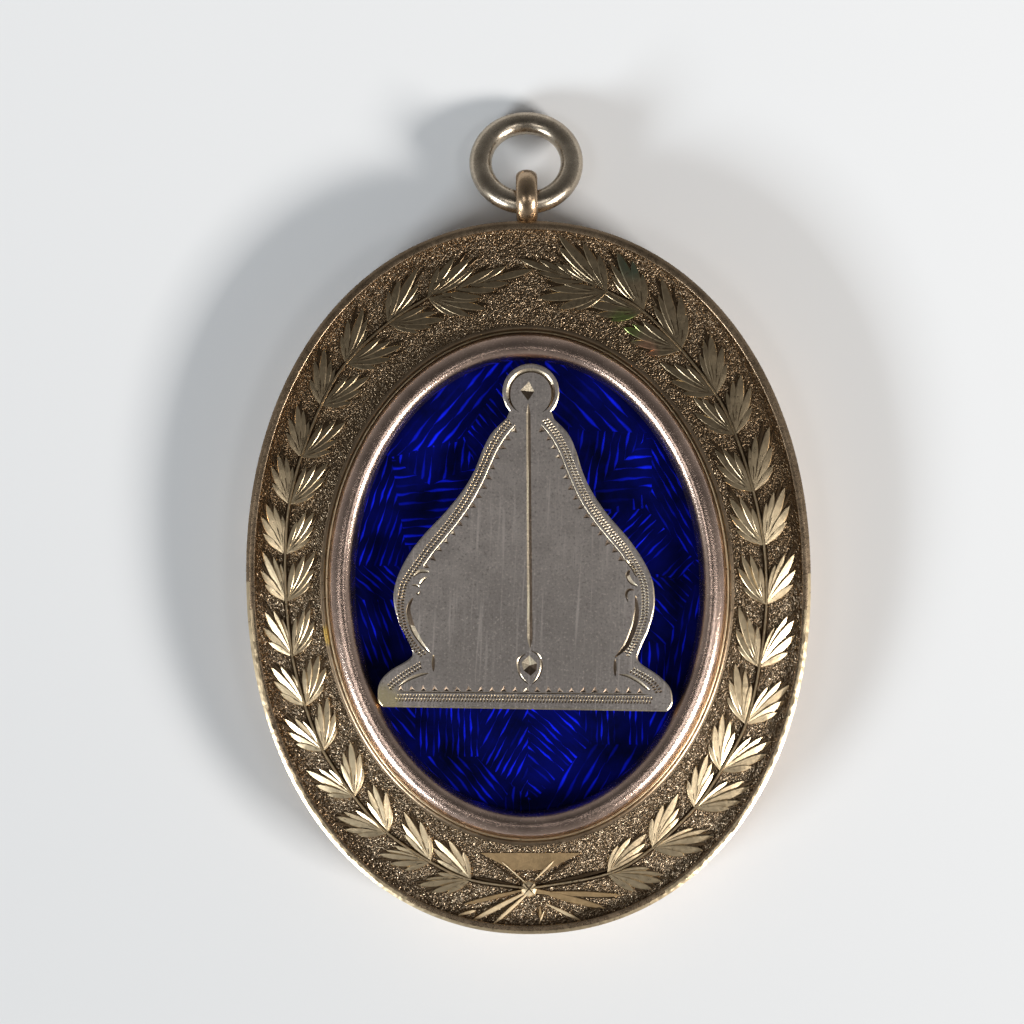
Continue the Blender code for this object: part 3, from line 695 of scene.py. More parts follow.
def shake(piece, wanted, distance, seed):
    """Move the points that pass a test a little at random, square to the surface."""
    with Editing(piece, "VERT", wanted):
        bpy.ops.transform.vertex_random(offset=distance, uniform=0.0, normal=1.0, seed=seed)


def bridge(piece, levels, cuts):
    """Join two open edge loops at two heights with faces."""
    def on_level(edge):
        return edge.is_boundary and any(
            all(abs(vertex.co.z - level) < MERGE for vertex in edge.verts) for level in levels)
    with Editing(piece, wanted=on_level):
        bpy.ops.mesh.bridge_edge_loops(number_cuts=cuts, interpolation="LINEAR", profile_shape_factor=0.0)


def joined(name, pieces):
    """Several objects as one."""
    hold(*pieces)
    bpy.ops.object.join()
    bpy.context.object.name = name
    return bpy.context.object


def placed(name, data):
    """A new object in the scene."""
    thing = bpy.data.objects.new(name, data)
    bpy.context.collection.objects.link(thing)
    return thing


def triangulated(points, edges, faces, gap):
    """Crossing flat faces as points with their origins, and the first face's triangles with their owners."""
    corners, _, triangles, origins, _, owners = delaunay_2d_cdt(points, edges, faces, 0, gap)
    return corners, origins, [pair for pair in zip(triangles, owners) if 0 in pair[1]]


def finish_piece(piece, materials, body, slot, *nodes):
    """Give a piece its materials, let it ride on its body and stand for the nodes it covers; the slot is not
    used.
    """
    for material in materials:
        piece.data.materials.append(material)
    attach(piece, body)
    if nodes:
        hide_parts(*nodes)


def draw_oval(name, sides, oval, rows):
    """An open band: a circle drawn out to an oval and extruded through rows of offset and height."""
    base, centre, fullness = oval
    hold()
    bpy.ops.mesh.primitive_circle_add(vertices=sides, radius=1.0, location=(0, 0, 0))
    piece = bpy.context.object
    piece.name = name
    offset, height = rows[0]
    half = base + Vector((offset, offset))
    for vertex in piece.data.vertices:
        across, up = fuller(vertex.co.x, fullness), fuller(vertex.co.y, fullness)
        vertex.co = (centre.x + half.x * across, centre.y + half.y * up, height)
    with Editing(piece):
        for offset, next_height in rows[1:]:
            next_half = base + Vector((offset, offset))
            bpy.ops.mesh.extrude_region_move()
            bpy.ops.transform.resize(value=(next_half.x / half.x, next_half.y / half.y, 1),
                                     center_override=(centre.x, centre.y, height))
            bpy.ops.transform.translate(value=(0, 0, next_height - height))
            half, height = next_half, next_height
    return piece


class Nodes:
    """A node tree whose nodes are added and joined with short calls."""

    def __init__(self, tree):
        self.tree = tree

    def add(self, kind, **values):
        """A node with some values: a name with a capital first is an input's, any other a setting's."""
        made = self.tree.nodes.new(kind)
        for name, value in values.items():
            if name[0].isupper():
                made.inputs[name.replace("_", " ")].default_value = value
            else:
                setattr(made, name, value)
        return made

    def join(self, output, target):
        """Link an output to an input."""
        self.tree.links.new(output, target)

    def wire(self, *links):
        """Join outputs to inputs, each given as a node, its output, a node and its input."""
        for source, output, target, socket in links:
            self.join(source.outputs[output], target.inputs[socket])


class Finish(Nodes):
    """The nodes of a new material."""

    def __init__(self, name):
        self.material = bpy.data.materials.new(name)
        self.material.use_nodes = True
        super().__init__(self.material.node_tree)
        self.shader = self.tree.nodes["Principled BSDF"]
        self.place = self.add("ShaderNodeTexCoord").outputs["Object"]

    def split(self, vector):
        """The three parts of a vector."""
        parts = self.add("ShaderNodeSeparateXYZ")
        self.join(vector, parts.inputs["Vector"])
        return parts.outputs

    def effect(self, name, maker, **values):
        """The mask of one of the shared effects, which is made when it is first asked for."""
        tree = bpy.data.node_groups.get(name) or maker(name)
        made = self.add("ShaderNodeGroup", node_tree=tree, **values)
        self.join(self.place, made.inputs["Vector"])
        return made.outputs["Mask"]

    def patches(self, scale, low, high):
        """The mask of cloudy patches."""
        return self.effect("tarnish_patches", tarnish_group, Scale=scale, Low=low, High=high)

    def blend(self, mask, under, over):
        """A colour laid over another colour or output, by a mask."""
        mix = self.add("ShaderNodeMix", data_type="RGBA")
        low, high = [socket for socket in mix.inputs if socket.type == "RGBA"]
        if isinstance(under, bpy.types.NodeSocket):
            self.join(under, low)
        else:
            low.default_value = (*under, 1)
        high.default_value = (*over, 1)
        self.join(mask, mix.inputs["Factor"])
        return [socket for socket in mix.outputs if socket.type == "RGBA"][0]

    def spot(self, pixel, height, reach):
        """A soft round mask about a photo pixel's place at a height."""
        far = self.add("ShaderNodeVectorMath", operation="DISTANCE")
        self.join(self.place, far.inputs[0])
        far.inputs[1].default_value = (*place_of_pixel(pixel), height)
        return self.ramp(far.outputs["Value"], reach, SPOT_CORE * reach)

    def top_shaded(self, colour, dark, share):
        """A colour blended into a dark one towards the top of the jewel: painted shade where the low lamps
        don't reach.
        """
        upper = self.ramp(self.split(self.place)["Y"], TOP_SHADE_LOW, TOP_SHADE_HIGH)
        return self.blend(self.maths("MULTIPLY", upper, share), colour, dark)

    def maths(self, operation, *values):
        """The outcome of one operation on outputs and numbers."""
        made = self.add("ShaderNodeMath", operation=operation)
        for socket, value in zip(made.inputs, values):
            if isinstance(value, (int, float)):
                socket.default_value = value
            else:
                self.join(value, socket)
        return made.outputs[0]

    def span(self, value, low, high):
        """A value from 0 to 1 mapped between two others."""
        mapped = self.add("ShaderNodeMapRange", To_Min=low, To_Max=high)
        self.join(value, mapped.inputs["Value"])
        return mapped.outputs["Result"]

    def ramp(self, value, zero, one):
        """A smooth step from 0 to 1 between two values."""
        rising = zero < one
        mapped = self.add("ShaderNodeMapRange", interpolation_type="SMOOTHSTEP", From_Min=min(zero, one),
                          From_Max=max(zero, one), To_Min=float(not rising), To_Max=float(rising))
        self.join(value, mapped.inputs["Value"])
        return mapped.outputs["Result"]

    def bump(self, height, strength, distance):
        """Let a height stand out of the surface."""
        made = self.add("ShaderNodeBump", Strength=strength, Distance=distance)
        self.join(height, made.inputs["Height"])
        self.join(made.outputs["Normal"], self.shader.inputs["Normal"])

    def dress(self, colour, metallic, roughness, gloss=None, **values):
        """Set the shader's colour from an output, its plain values and, where given, an uneven gloss."""
        inputs = self.shader.inputs
        inputs["Metallic"].default_value = metallic
        inputs["Roughness"].default_value = roughness
        for name, value in values.items():
            inputs[name.replace("_", " ")].default_value = value
        self.join(colour, inputs["Base Color"])
        if gloss is not None:
            self.join(gloss, inputs["Roughness"])


def new_effect(name, **inputs):
    """An empty node group with a vector, named numbers and a mask, and its two end nodes."""
    tree = bpy.data.node_groups.new(name, "ShaderNodeTree")
    tree.interface.new_socket(name="Vector", in_out="INPUT", socket_type="NodeSocketVector")
    for label, value in inputs.items():
        socket = tree.interface.new_socket(name=label, in_out="INPUT", socket_type="NodeSocketFloat")
        socket.default_value = value
    tree.interface.new_socket(name="Mask", in_out="OUTPUT", socket_type="NodeSocketFloat")
    effect = Nodes(tree)
    return effect, effect.add("NodeGroupInput"), effect.add("NodeGroupOutput")


def tarnish_group(name):
    """Cloudy patches: a mask from 0 to 1 with soft or hard borders."""
    effect, source, result = new_effect(name, Scale=200.0, Low=0.4, High=0.6)
    noise = effect.add("ShaderNodeTexNoise", Detail=6, Roughness=0.6)
    ramp = effect.add("ShaderNodeMapRange")
    effect.wire((source, "Vector", noise, "Vector"), (source, "Scale", noise, "Scale"),
                (noise, "Fac", ramp, "Value"), (source, "Low", ramp, "From Min"),
                (source, "High", ramp, "From Max"), (ramp, "Result", result, "Mask"))
    return effect.tree


def scratch_group(name):
    """Fine scratches in one direction: thin lines of a stretched noise, turned by an angle."""
    effect, source, result = new_effect(name, Turn=0.0, Scale=900.0, Stretch=0.04)
    turn = effect.add("ShaderNodeVectorRotate", rotation_type="Z_AXIS")
    shape = effect.add("ShaderNodeCombineXYZ", X=1, Z=1)
    squeeze = effect.add("ShaderNodeVectorMath", operation="MULTIPLY")
    noise = effect.add("ShaderNodeTexNoise", Detail=3)
    ramp = effect.add("ShaderNodeMapRange", From_Min=0.56, From_Max=0.70)
    effect.wire((source, "Vector", turn, "Vector"), (source, "Turn", turn, "Angle"),
                (source, "Stretch", shape, "Y"), (turn, "Vector", squeeze, 0),
                (shape, "Vector", squeeze, 1), (squeeze, "Vector", noise, "Vector"),
                (source, "Scale", noise, "Scale"), (noise, "Fac", ramp, "Value"),
                (ramp, "Result", result, "Mask"))
    return effect.tree


def gilt_finish(context, name):
    """Worn gilding: bright metal with brown patches, an uneven gloss and stains, and where asked, painted
    shade towards the top.
    """
    colours = context.scene.jewel_colours
    kind, strength, roughness, low, high, stains, top_shade = GILT_FINISHES[name]
    colour = scaled(getattr(colours, kind), strength)
    finish = Finish(name)
    fine = finish.patches(1900, 0.3, 0.7)
    mixed = finish.blend(finish.patches(260, low, high), colour, mixture(colour, colours.patina_and_shade, 0.45))
    # Painted shade: darker towards the top of the jewel
    if top_shade:
        mixed = finish.top_shaded(mixed, colours.patina_and_shade, top_shade)
    for pixel, reach, stain in stains:
        mask = finish.maths("MULTIPLY", finish.spot(pixel, FIELD_TOP, reach), finish.span(fine, 0.5, 1.0))
        mixed = finish.blend(mask, mixed, stain)
    finish.dress(mixed, 1.0, roughness, finish.span(fine, roughness - 0.05, roughness + 0.06))
    finish.bump(fine, 0.25, 0.00002)
    return finish.material


def ground_finish(context):
    """The matted ground: brown in its low places, with bright grains, dirt in its pits and painted shade by
    raised pieces and at the top.
    """
    colours = context.scene.jewel_colours
    ground, patina_and_shade = colours.ground, colours.patina_and_shade
    finish = Finish("matted_ground")
    cells = finish.add("ShaderNodeTexVoronoi", Scale=GRAIN_SCALE)
    finish.join(finish.place, cells.inputs["Vector"])
    grain = cells.outputs["Color"]
    dirt_and_shade = finish.add("ShaderNodeAttribute", attribute_name="shade").outputs["Fac"]
    brown = finish.blend(finish.patches(330, 0.35, 0.7), ground, mixture(ground, patina_and_shade, 0.5))
    pits = finish.blend(finish.ramp(grain, 0.46, 0.2), brown, patina_and_shade)
    grains = finish.blend(finish.ramp(grain, 0.55, 0.8), pits, scaled(ground, 2.7))
    # Dirt in the pits and painted shade at the foot of raised pieces, over painted shade towards the top
    finish.dress(finish.blend(dirt_and_shade, finish.top_shaded(grains, patina_and_shade, GROUND_TOP_SHADE), patina_and_shade), 1.0, 0.30)
    finish.bump(cells.outputs["Distance"], 1.0, 0.00007)
    return finish.material


def build_ring_body():
    """The frame's body from its back rebate over the rim, the field's floor and the collar to the ledge."""
    quarter = math.pi / 2
    recess = BACK_HIGH.z + BACK_GAP
    drop = CHAMFER * math.tan(CHAMFER_TILT)
    bevel = RIM_BEVEL / 4
    line = LINE_WIDTH / 2
    outside = [(-WALL, FIELD_EDGE - SHEET), (-WALL, recess), (-REBATE, recess), (-REBATE, 0.0),
               (-EDGE_BREAK, 0.0)]
    outside += arc_rows((-EDGE_BREAK, EDGE_BREAK), EDGE_BREAK, EDGE_BREAK, -quarter, 0, 4)[1:]
    outside += [(0.0, BODY_DEPTH / 2)]
    outside += [(-CHAMFER * share, BODY_DEPTH - drop * (1 - share)) for share in (0.0, 0.5, 0.93)]
    outside += [(-1.1 * CHAMFER, BODY_DEPTH), (-0.7 * RIM_WIDTH, BODY_DEPTH)]
    outside += arc_rows((bevel - RIM_WIDTH, BODY_DEPTH - bevel), bevel, bevel, quarter, 2 * quarter, 3)
    outside += [(-RIM_WIDTH, FIELD_EDGE - 2 * GROUND_DEPTH)]
    inside = [(BAND_GROW, FIELD_TOP - 2 * GROUND_DEPTH), (BAND_GROW, FIELD_TOP)]
    inside += arc_rows((BAND_GROW, COLLAR_TOP), COLLAR_WIDTH, COLLAR_TOP - FIELD_TOP,
                       3 * quarter, 2 * quarter, 6)[1:]
    inside += arc_rows((SEAT_GROW + line, COLLAR_TOP - line), line, line, 0, 2 * quarter, 6)
    inside += [(SEAT_GROW, LEDGE_TOP), (-LEDGE_REACH, LEDGE_TOP), (-LEDGE_REACH, LEDGE_TOP - SHEET),
               (SEAT_GROW + SHEET, LEDGE_TOP - SHEET), (SEAT_GROW + SHEET, FIELD_TOP - SHEET)]
    body = joined("frame_body", [draw_oval("frame_body", OVAL_SIDES, BODY_OVAL, outside),
                                 draw_oval("collar", OVAL_SIDES, WINDOW_OVAL, inside)])
    bridge(body, (FIELD_EDGE - 2 * GROUND_DEPTH, FIELD_TOP - 2 * GROUND_DEPTH), 0)
    bridge(body, (FIELD_EDGE - SHEET, FIELD_TOP - SHEET), 0)
    close_up(body)
    shake(body, on_worn_edge, RIM_NICK, RIM_SEED)
    bpy.ops.object.shade_smooth_by_angle(angle=SMOOTH_ANGLE)
    for face in body.data.polygons:
        share = point_share(face.center)
        height = face.center.z
        outwards = (face.center.xy - WINDOW_CENTRE).dot(face.normal.xy) > 0
        low = FIELD_TOP - GROUND_DEPTH < height < COLLAR_TOP - line
        # The collar's hollow takes the darker collar gilt: painted shade
        if low and outwards and share < COLLAR_SHADE_REACH:
            face.material_index = 1
        # The lower rim edge's worn faces take the brighter leaf gilt, partly wear and partly a painted
        # highlight; so does the line's top
        worn = height > BODY_DEPTH - RIM_BEVEL and face.center.y < 0 and share > WORN_LIT_FACE
        if worn or height > COLLAR_TOP - line:
            face.material_index = 2
    return body


def on_worn_edge(vertex):
    """Tell whether a point lies on the rim's outer edge, on its worn lower half."""
    low = BODY_DEPTH - 0.8 * RIM_BEVEL < vertex.co.z < BODY_DEPTH - MERGE
    return low and vertex.co.y < WORN_BELOW and point_share(vertex.co) > WORN_POINT


def build_ground(depth):
    """The matted field: a thin sloping sheet whose top is punched all over."""
    lap = RIM_BEVEL / 5
    outer, inner = lap - RIM_WIDTH, BAND_GROW - lap
    edge, top = FIELD_EDGE - GROUND_DEPTH, FIELD_TOP - GROUND_DEPTH
    ground = joined("matted_field", [
        draw_oval("matted_field", GROUND_SIDES, BODY_OVAL, [(outer, edge), (outer, FIELD_EDGE)]),
        draw_oval("matted_inside", GROUND_SIDES, WINDOW_OVAL, [(inner, FIELD_TOP), (inner, top)])])
    borders = len(ground.data.vertices)
    bridge(ground, (FIELD_EDGE, FIELD_TOP), GROUND_CUTS)
    bridge(ground, (edge, top), 0)
    shake(ground, lambda vertex: vertex.index >= borders, depth, GROUND_SEED)
    close_up(ground)
    return ground


def blade_template():
    """One lobe's blade, of unit size: a lens-shaped plate with a steep bright cut on one side."""
    hold()
    columns = len(BLADE_PROFILE) - 1
    bpy.ops.mesh.primitive_grid_add(x_subdivisions=BLADE_STEPS, y_subdivisions=columns, size=1.0,
                                    location=(0, 0, 0))
    blade = bpy.context.object
    blade.name = "blade"
    for vertex in blade.data.vertices:
        along = vertex.co.x + 0.5
        across, up = BLADE_PROFILE[round(vertex.co.y * columns) + columns // 2]
        swell = math.sin(math.pi * min(1.0, along ** 1.25 * 0.97 + 0.02)) ** 0.8
        width = BLADE_TIP if along > 0.999 else BLADE_FOOT + (1 - BLADE_FOOT) * swell
        crown = 1 - 0.25 * max(0.0, along - 0.7) / 0.3
        vertex.co = (along, across * width / 2, up * (crown if up > 0 else 1.0))
    with Editing(blade):
        bpy.ops.mesh.region_to_loop()
        bpy.ops.mesh.edge_face_add()
        bpy.ops.mesh.select_all(action="SELECT")
        bpy.ops.mesh.normals_make_consistent(inside=False)
    return blade


def lay_blade(template, start, heading, length, width, relief, curve=0.0, lean=0.0, flip=1):
    """A copy of the blade laid on the field: bent sideways, leaning and draped over the slope."""
    copy = placed(template.name, template.data.copy())
    turn = Matrix.Rotation(heading, 2)
    for vertex in copy.data.vertices:
        along, across, up = vertex.co
        across *= flip
        flat = Vector((along * length, across * width + curve * length * along ** 2))
        point = start + turn @ flat
        rise = relief * up - math.tan(lean) * across * width
        vertex.co = (point.x, point.y, field_height(point) + rise)
    if flip < 0:
        copy.data.flip_normals()
    return copy


def lean_outwards(start, heading, amount):
    """How far a blade leans about its own line, so that its flat faces away from the middle."""
    outwards = (start - WINDOW_CENTRE).normalized()
    return amount * outwards.dot(polar(1.0, heading + math.pi / 2))


def reach_inside(start, heading, reach):
    """The reach of a stroke, shortened until its end lies inside the field."""
    while reach > SHORTEST_STROKE:
        if FIELD_MARGIN < point_share(start + polar(reach, heading)) < 1 - FIELD_MARGIN:
            break
        reach *= 0.95
    return reach


def lay_leaf(template, node, turn, side, length, lobes, sizes, draw, made, gouges):
    """The blades of one leaf, fanned out from its foot, with the seams and dark strokes between them as
    painted shadow.
    """
    laid = []
    for degrees, share, width, start, bend in lobes:
        angle = turn + side * math.radians(degrees + draw.uniform(*LOBE_TURNS))
        root = node + polar(start * length, turn)
        curve = side * bend * draw.uniform(*LOBE_CURVES)
        flip = 1 if side * degrees > 0 else -1
        amount = sizes.leaf_lean * draw.uniform(*LOBE_LEANS) * (LOW_LEAN if root.y < 0 else 1.0)
        lean = lean_outwards(root, angle, amount)
        reach = reach_inside(root, angle + curve, share * length * draw.uniform(*LOBE_LENGTHS))
        made.append(lay_blade(template, root, angle, reach, width * length * draw.uniform(*LOBE_WIDTHS),
                              sizes.leaf_relief * draw.uniform(*LOBE_RELIEFS), curve, lean, flip))
        laid.append((root, angle + curve, reach))
    for (root, angle, reach), (next_root, next_angle, next_reach) in zip(laid, laid[1:]):
        middle = (angle + next_angle) / 2
        far = min(reach, next_reach)
        start = (root + next_root) / 2
        seam = start + polar(SEAM_START * far, middle)
        gouges.append(lay_blade(template, seam, middle, SEAM_REACH * far, SEAM_WIDTH,
                                sizes.leaf_relief * SEAM_RELIEF))
        stroke = start + polar(GOUGE_START * far, middle)
        run = reach_inside(stroke, middle, GOUGE_REACH * far * draw.uniform(*GOUGE_LENGTHS))
        gouges.append(lay_blade(template, stroke, middle, run, GOUGE_WIDTH * draw.uniform(*GOUGE_WIDTHS),
                                sizes.shadow_gouge_relief))


def build_branch(sizes, branch, template):
    """All the leaves of one branch as one piece, and the dark cuts between them, painted shadow, as another.
    """
    draw = random.Random(branch["side"] + BRANCH_SEED)
    nodes = read_pixels(branch["stem"])
    tip = place_of_pixel(branch["tip"])
    path = [place_of_pixel(KNOT)] + nodes + [tip]
    blades, gouges = [], []
    for before, node, after in zip(path, nodes, path[2:]):
        heading = heading_of(after - before)
        rise = max(0.0, node.y / BODY_HALF.y)
        for side, leaf in ((branch["side"] * -1, "outer"), (branch["side"], "inner")):
            length = branch[leaf] * (1 + TOP_GROWTH * rise ** 2) * draw.uniform(*LEAF_LENGTHS)
            turn = heading + side * branch[leaf + "_turn"]
            lay_leaf(template, node, turn, side, length, LOBES, sizes, draw, blades, gouges)
    ahead = tip - nodes[-1]
    lay_leaf(template, nodes[-1], heading_of(ahead), 1, ahead.length, TIP_LOBES, sizes, draw, blades, gouges)
    return joined("leaves_" + branch["name"], blades), joined("gouges_" + branch["name"], gouges)


def build_stem(name, points, radius, lift):
    """A thin raised line along the field: a round tube through the points."""
    curve = bpy.data.curves.new(name, "CURVE")
    curve.dimensions = "3D"
    curve.bevel_depth = radius
    curve.bevel_resolution = 1
    curve.use_fill_caps = True
    spline = curve.splines.new("POLY")
    spline.points.add(len(points) - 1)
    for made, point in zip(spline.points, points):
        made.co = (point.x, point.y, field_height(point) + lift, 1)
    hold(placed(name, curve))
    bpy.ops.object.convert(target="MESH")
    stem = bpy.context.object
    close_up(stem, STEM_ANGLE)
    return stem


def shade_ground(field, pieces, depth):
    """Mark the field's pits, where dirt has gathered, and paint shade on the places at the foot of a raised
    piece.
    """
    spots = [vertex.co for piece in pieces for vertex in piece.data.vertices]
    spots = [spot for spot in spots if spot.z < field_height(spot) + SHADE_LIFT]
    tree = KDTree(len(spots))
    for i, spot in enumerate(spots):
        tree.insert((spot.x, spot.y, 0), i)
    tree.balance()
    shade = field.data.attributes.new("shade", "FLOAT", "POINT")
    for mark, vertex in zip(shade.data, field.data.vertices):
        _, _, gap = tree.find((vertex.co.x, vertex.co.y, 0))
        pit = DIRT_AND_SHADE + DIRT_SLOPE * (field_height(vertex.co) - vertex.co.z) / depth
        # Dirt in a pit or painted shade at the foot of a raised piece, whichever is stronger
        mark.value = max(DIRT_AND_SHADE - gap / SHADE_REACH, min(1.0, pit), 0.0)


def build_bow(sizes, template):
    """The bow at the wreath's foot: strokes in painted highlight, gold and painted shade, a plain band and a
    highlit faceted knot.
    """
    knot = place_of_pixel(KNOT)
    parts = {tone: [] for tone in BOW_TONES}
    for first, last, breadth, tone in BOW_STROKES:
        relief, tilt = BOW_TONES[tone]
        start, end = read_pixels((first, last))
        along = end - start
        heading = heading_of(along)
        lean = lean_outwards(start, heading, tilt * sizes.leaf_lean)
        parts[tone].append(lay_blade(template, start, heading, along.length, breadth,
                                     relief * sizes.leaf_relief, 0.0, lean, 1 if along.x > 0 else -1))
    hold()
    bpy.ops.mesh.primitive_uv_sphere_add(segments=8, ring_count=6, radius=KNOT_RADIUS, location=(0, 0, 0))
    parts["bright"].append(bpy.context.object)
    bpy.ops.transform.resize(value=(1, 1, KNOT_FLATNESS), center_override=(0, 0, 0))
    bpy.ops.transform.translate(value=(knot.x, knot.y, field_height(knot) + KNOT_LIFT))
    bpy.ops.object.transform_apply(location=True, rotation=True, scale=True)
    for turn in KNOT_CUTS:
        start = knot - polar(KNOT_CUT_LENGTH / 2, turn)
        cut = lay_blade(template, start, turn, KNOT_CUT_LENGTH, KNOT_CUT_WIDTH, KNOT_CUT_RISE)
        parts["dark"].append(cut)
    parts["gold"].append(build_band())
    return {tone: joined("bow_" + tone, made) for tone, made in parts.items()}


def build_band():
    """The bow's broad ribbon: a flat plate on the field."""
    corners = counter_clockwise(read_pixels(BOW_BAND))
    mesh = bpy.data.meshes.new("band")
    places = [(corner.x, corner.y, field_height(corner) - GROUND_DEPTH) for corner in corners]
    mesh.from_pydata(places, [], [list(range(len(corners)))])
    band = placed("band", mesh)
    with Editing(band):
        extrude(GROUND_DEPTH + BAND_LIFT)
    close_up(band)
    return band


def build_loop():
    """The loop that is soldered to the frame's top: a torus flattened and drawn out along Y."""
    hold()
    bpy.ops.mesh.primitive_torus_add(major_segments=64, minor_segments=24, location=(0, 0, 0),
                                     major_radius=LOOP_HOLE + LOOP_WIRE / 2, minor_radius=LOOP_WIRE / 2,
                                     rotation=(0, math.pi / 2, 0))
    loop = bpy.context.object
    loop.name = "loop"
    bpy.ops.object.transform_apply(location=True, rotation=True, scale=True)
    with Editing(loop):
        bpy.ops.transform.resize(value=(LOOP_WIDTH / LOOP_WIRE, 1, 1), center_override=(0, 0, 0))
    reach = (LOOP_END - LOOP_START) - 2 * (LOOP_HOLE + LOOP_WIRE)
    low = LOOP_START + LOOP_HOLE + LOOP_WIRE
    with Editing(loop, "VERT", lambda vertex: vertex.co.y > MERGE):
        bpy.ops.transform.translate(value=(0, reach, 0))
        bpy.ops.mesh.select_all(action="SELECT")
        bpy.ops.transform.translate(value=(SWING.x, low, SWING.z))
    close_up(loop, SMOOTH_ANGLE)
    return loop


class JEWEL_OT_frame(bpy.types.Operator):
    """Model the frame's body, its matted field, the wreath, the bow and the loop"""

    bl_idname = "jewel.frame"
    bl_label = "Frame and wreath"

    def execute(self, context):
        sizes = context.scene.jewel_sizes
        # The collar's finish is painted shade in its hollow, the bow's bright one a painted highlight, the
        # last painted shadow in the cuts
        gilt, collar, leaf, pale, gold, dark = [gilt_finish(context, name) for name in FRAME_FINISHES]
        body = build_ring_body()
        field = build_ground(sizes.punch_depth)
        template = blade_template()
        raised = []
        for branch in BRANCHES:
            leaves, gouges = build_branch(sizes, branch, template)
            path = smooth_path(read_pixels((KNOT, *branch["stem"])), PATH_STEPS)
            stem = build_stem("stem_" + branch["name"], path, STEM_WIDTH, STEM_LIFT)
            border = build_stem("stem_border_" + branch["name"], path, BORDER_WIDTH, 0.0)
            for piece, material in ((leaves, leaf), (gouges, dark), (stem, leaf), (border, dark)):
                finish_piece(piece, [material], "frame", "gilt")
            raised += [leaves, stem, gouges]
        for tone, bow in build_bow(sizes, template).items():
            # Each tone takes its finish: painted highlight, gold or painted shade
            finish_piece(bow, [{"bright": pale, "gold": gold, "dark": dark}[tone]], "frame", "gilt")
            raised.append(bow)
        shade_ground(field, raised, sizes.punch_depth)
        finish_piece(build_loop(), [gilt], "frame", "gilt")
        finish_piece(field, [ground_finish(context)], "frame", "gilt")
        finish_piece(body, [gilt, collar, leaf], "frame", "gilt", "frame")
        bpy.data.objects.remove(template, do_unlink=True)
        return {"FINISHED"}


class JEWEL_OT_back(bpy.types.Operator):
    """Model the plate that closes the back"""

    bl_idname = "jewel.back"
    bl_label = "Back plate"

    def execute(self, context):
        inset = BODY_HALF.x - BACK_HIGH.x
        broken = EDGE_BREAK / 2
        rows = [(-inset, BACK_HIGH.z)]
        rows += arc_rows((-inset - broken, broken), broken, broken, 0, -math.pi / 2, 3)
        back = draw_oval("back_cover", OVAL_SIDES, BODY_OVAL, rows)
        for wanted in (lambda edge: edge.is_boundary and edge.verts[0].co.z > BACK_HIGH.z / 2, is_open):
            with Editing(back, wanted=wanted):
                bpy.ops.mesh.edge_face_add()
        close_up(back, SMOOTH_ANGLE)
        finish_piece(back, [gilt_finish(context, "back_gilt")], "frame", "gilt", "back_plate")
        return {"FINISHED"}


class JEWEL_OT_bezel(bpy.types.Operator):
    """Model the half-round bead round the window"""

    bl_idname = "jewel.bezel"
    bl_label = "Bezel"

    def execute(self, context):
        foot = BEZEL_HIGH.z - BEAD_RISE
        shoulder = BEZEL_HIGH.z - BEAD_SHOULDER
        outer = BEAD_WIDTH + BEAD_SPREAD
        steps = BEAD_STEPS // 2
        crest = math.pi / 2
        rows = arc_rows((BEAD_CREST, foot), BEAD_CREST, BEAD_RISE, math.pi, crest, steps)
        rows += arc_rows((BEAD_CREST, shoulder), outer - BEAD_CREST, BEAD_SHOULDER, crest, 0, steps)[1:]
        inner = BEAD_WIDTH - BEZEL_WALL
        rows += [(outer, shoulder - BEAD_SPREAD), (BEAD_WIDTH, shoulder - BEAD_SPREAD),
                 (BEAD_WIDTH, BEZEL_LOW.z), (inner, BEZEL_LOW.z), (inner, foot), (0.0, foot)]
        bezel = draw_oval("bezel_bead", BEZEL_SIDES, WINDOW_OVAL, rows)
        close_up(bezel, SMOOTH_ANGLE)
        rose = self.rose_finish(context.scene.jewel_colours.rose)
        finish_piece(bezel, [rose], "frame", "rose_metal", "bezel")
        return {"FINISHED"}

    def rose_finish(self, rose):
        """Rose-brown metal with fine marks all over."""
        finish = Finish("rose_metal")
        marks = finish.patches(5000, 0.35, 0.75)
        mixed = finish.blend(finish.patches(240, 0.35, 0.7), rose, scaled(rose, 0.62))
        finish.dress(mixed, 1.0, 0.28, finish.span(marks, 0.18, 0.30))
        finish.bump(marks, 0.8, 0.000013)
        return finish.material


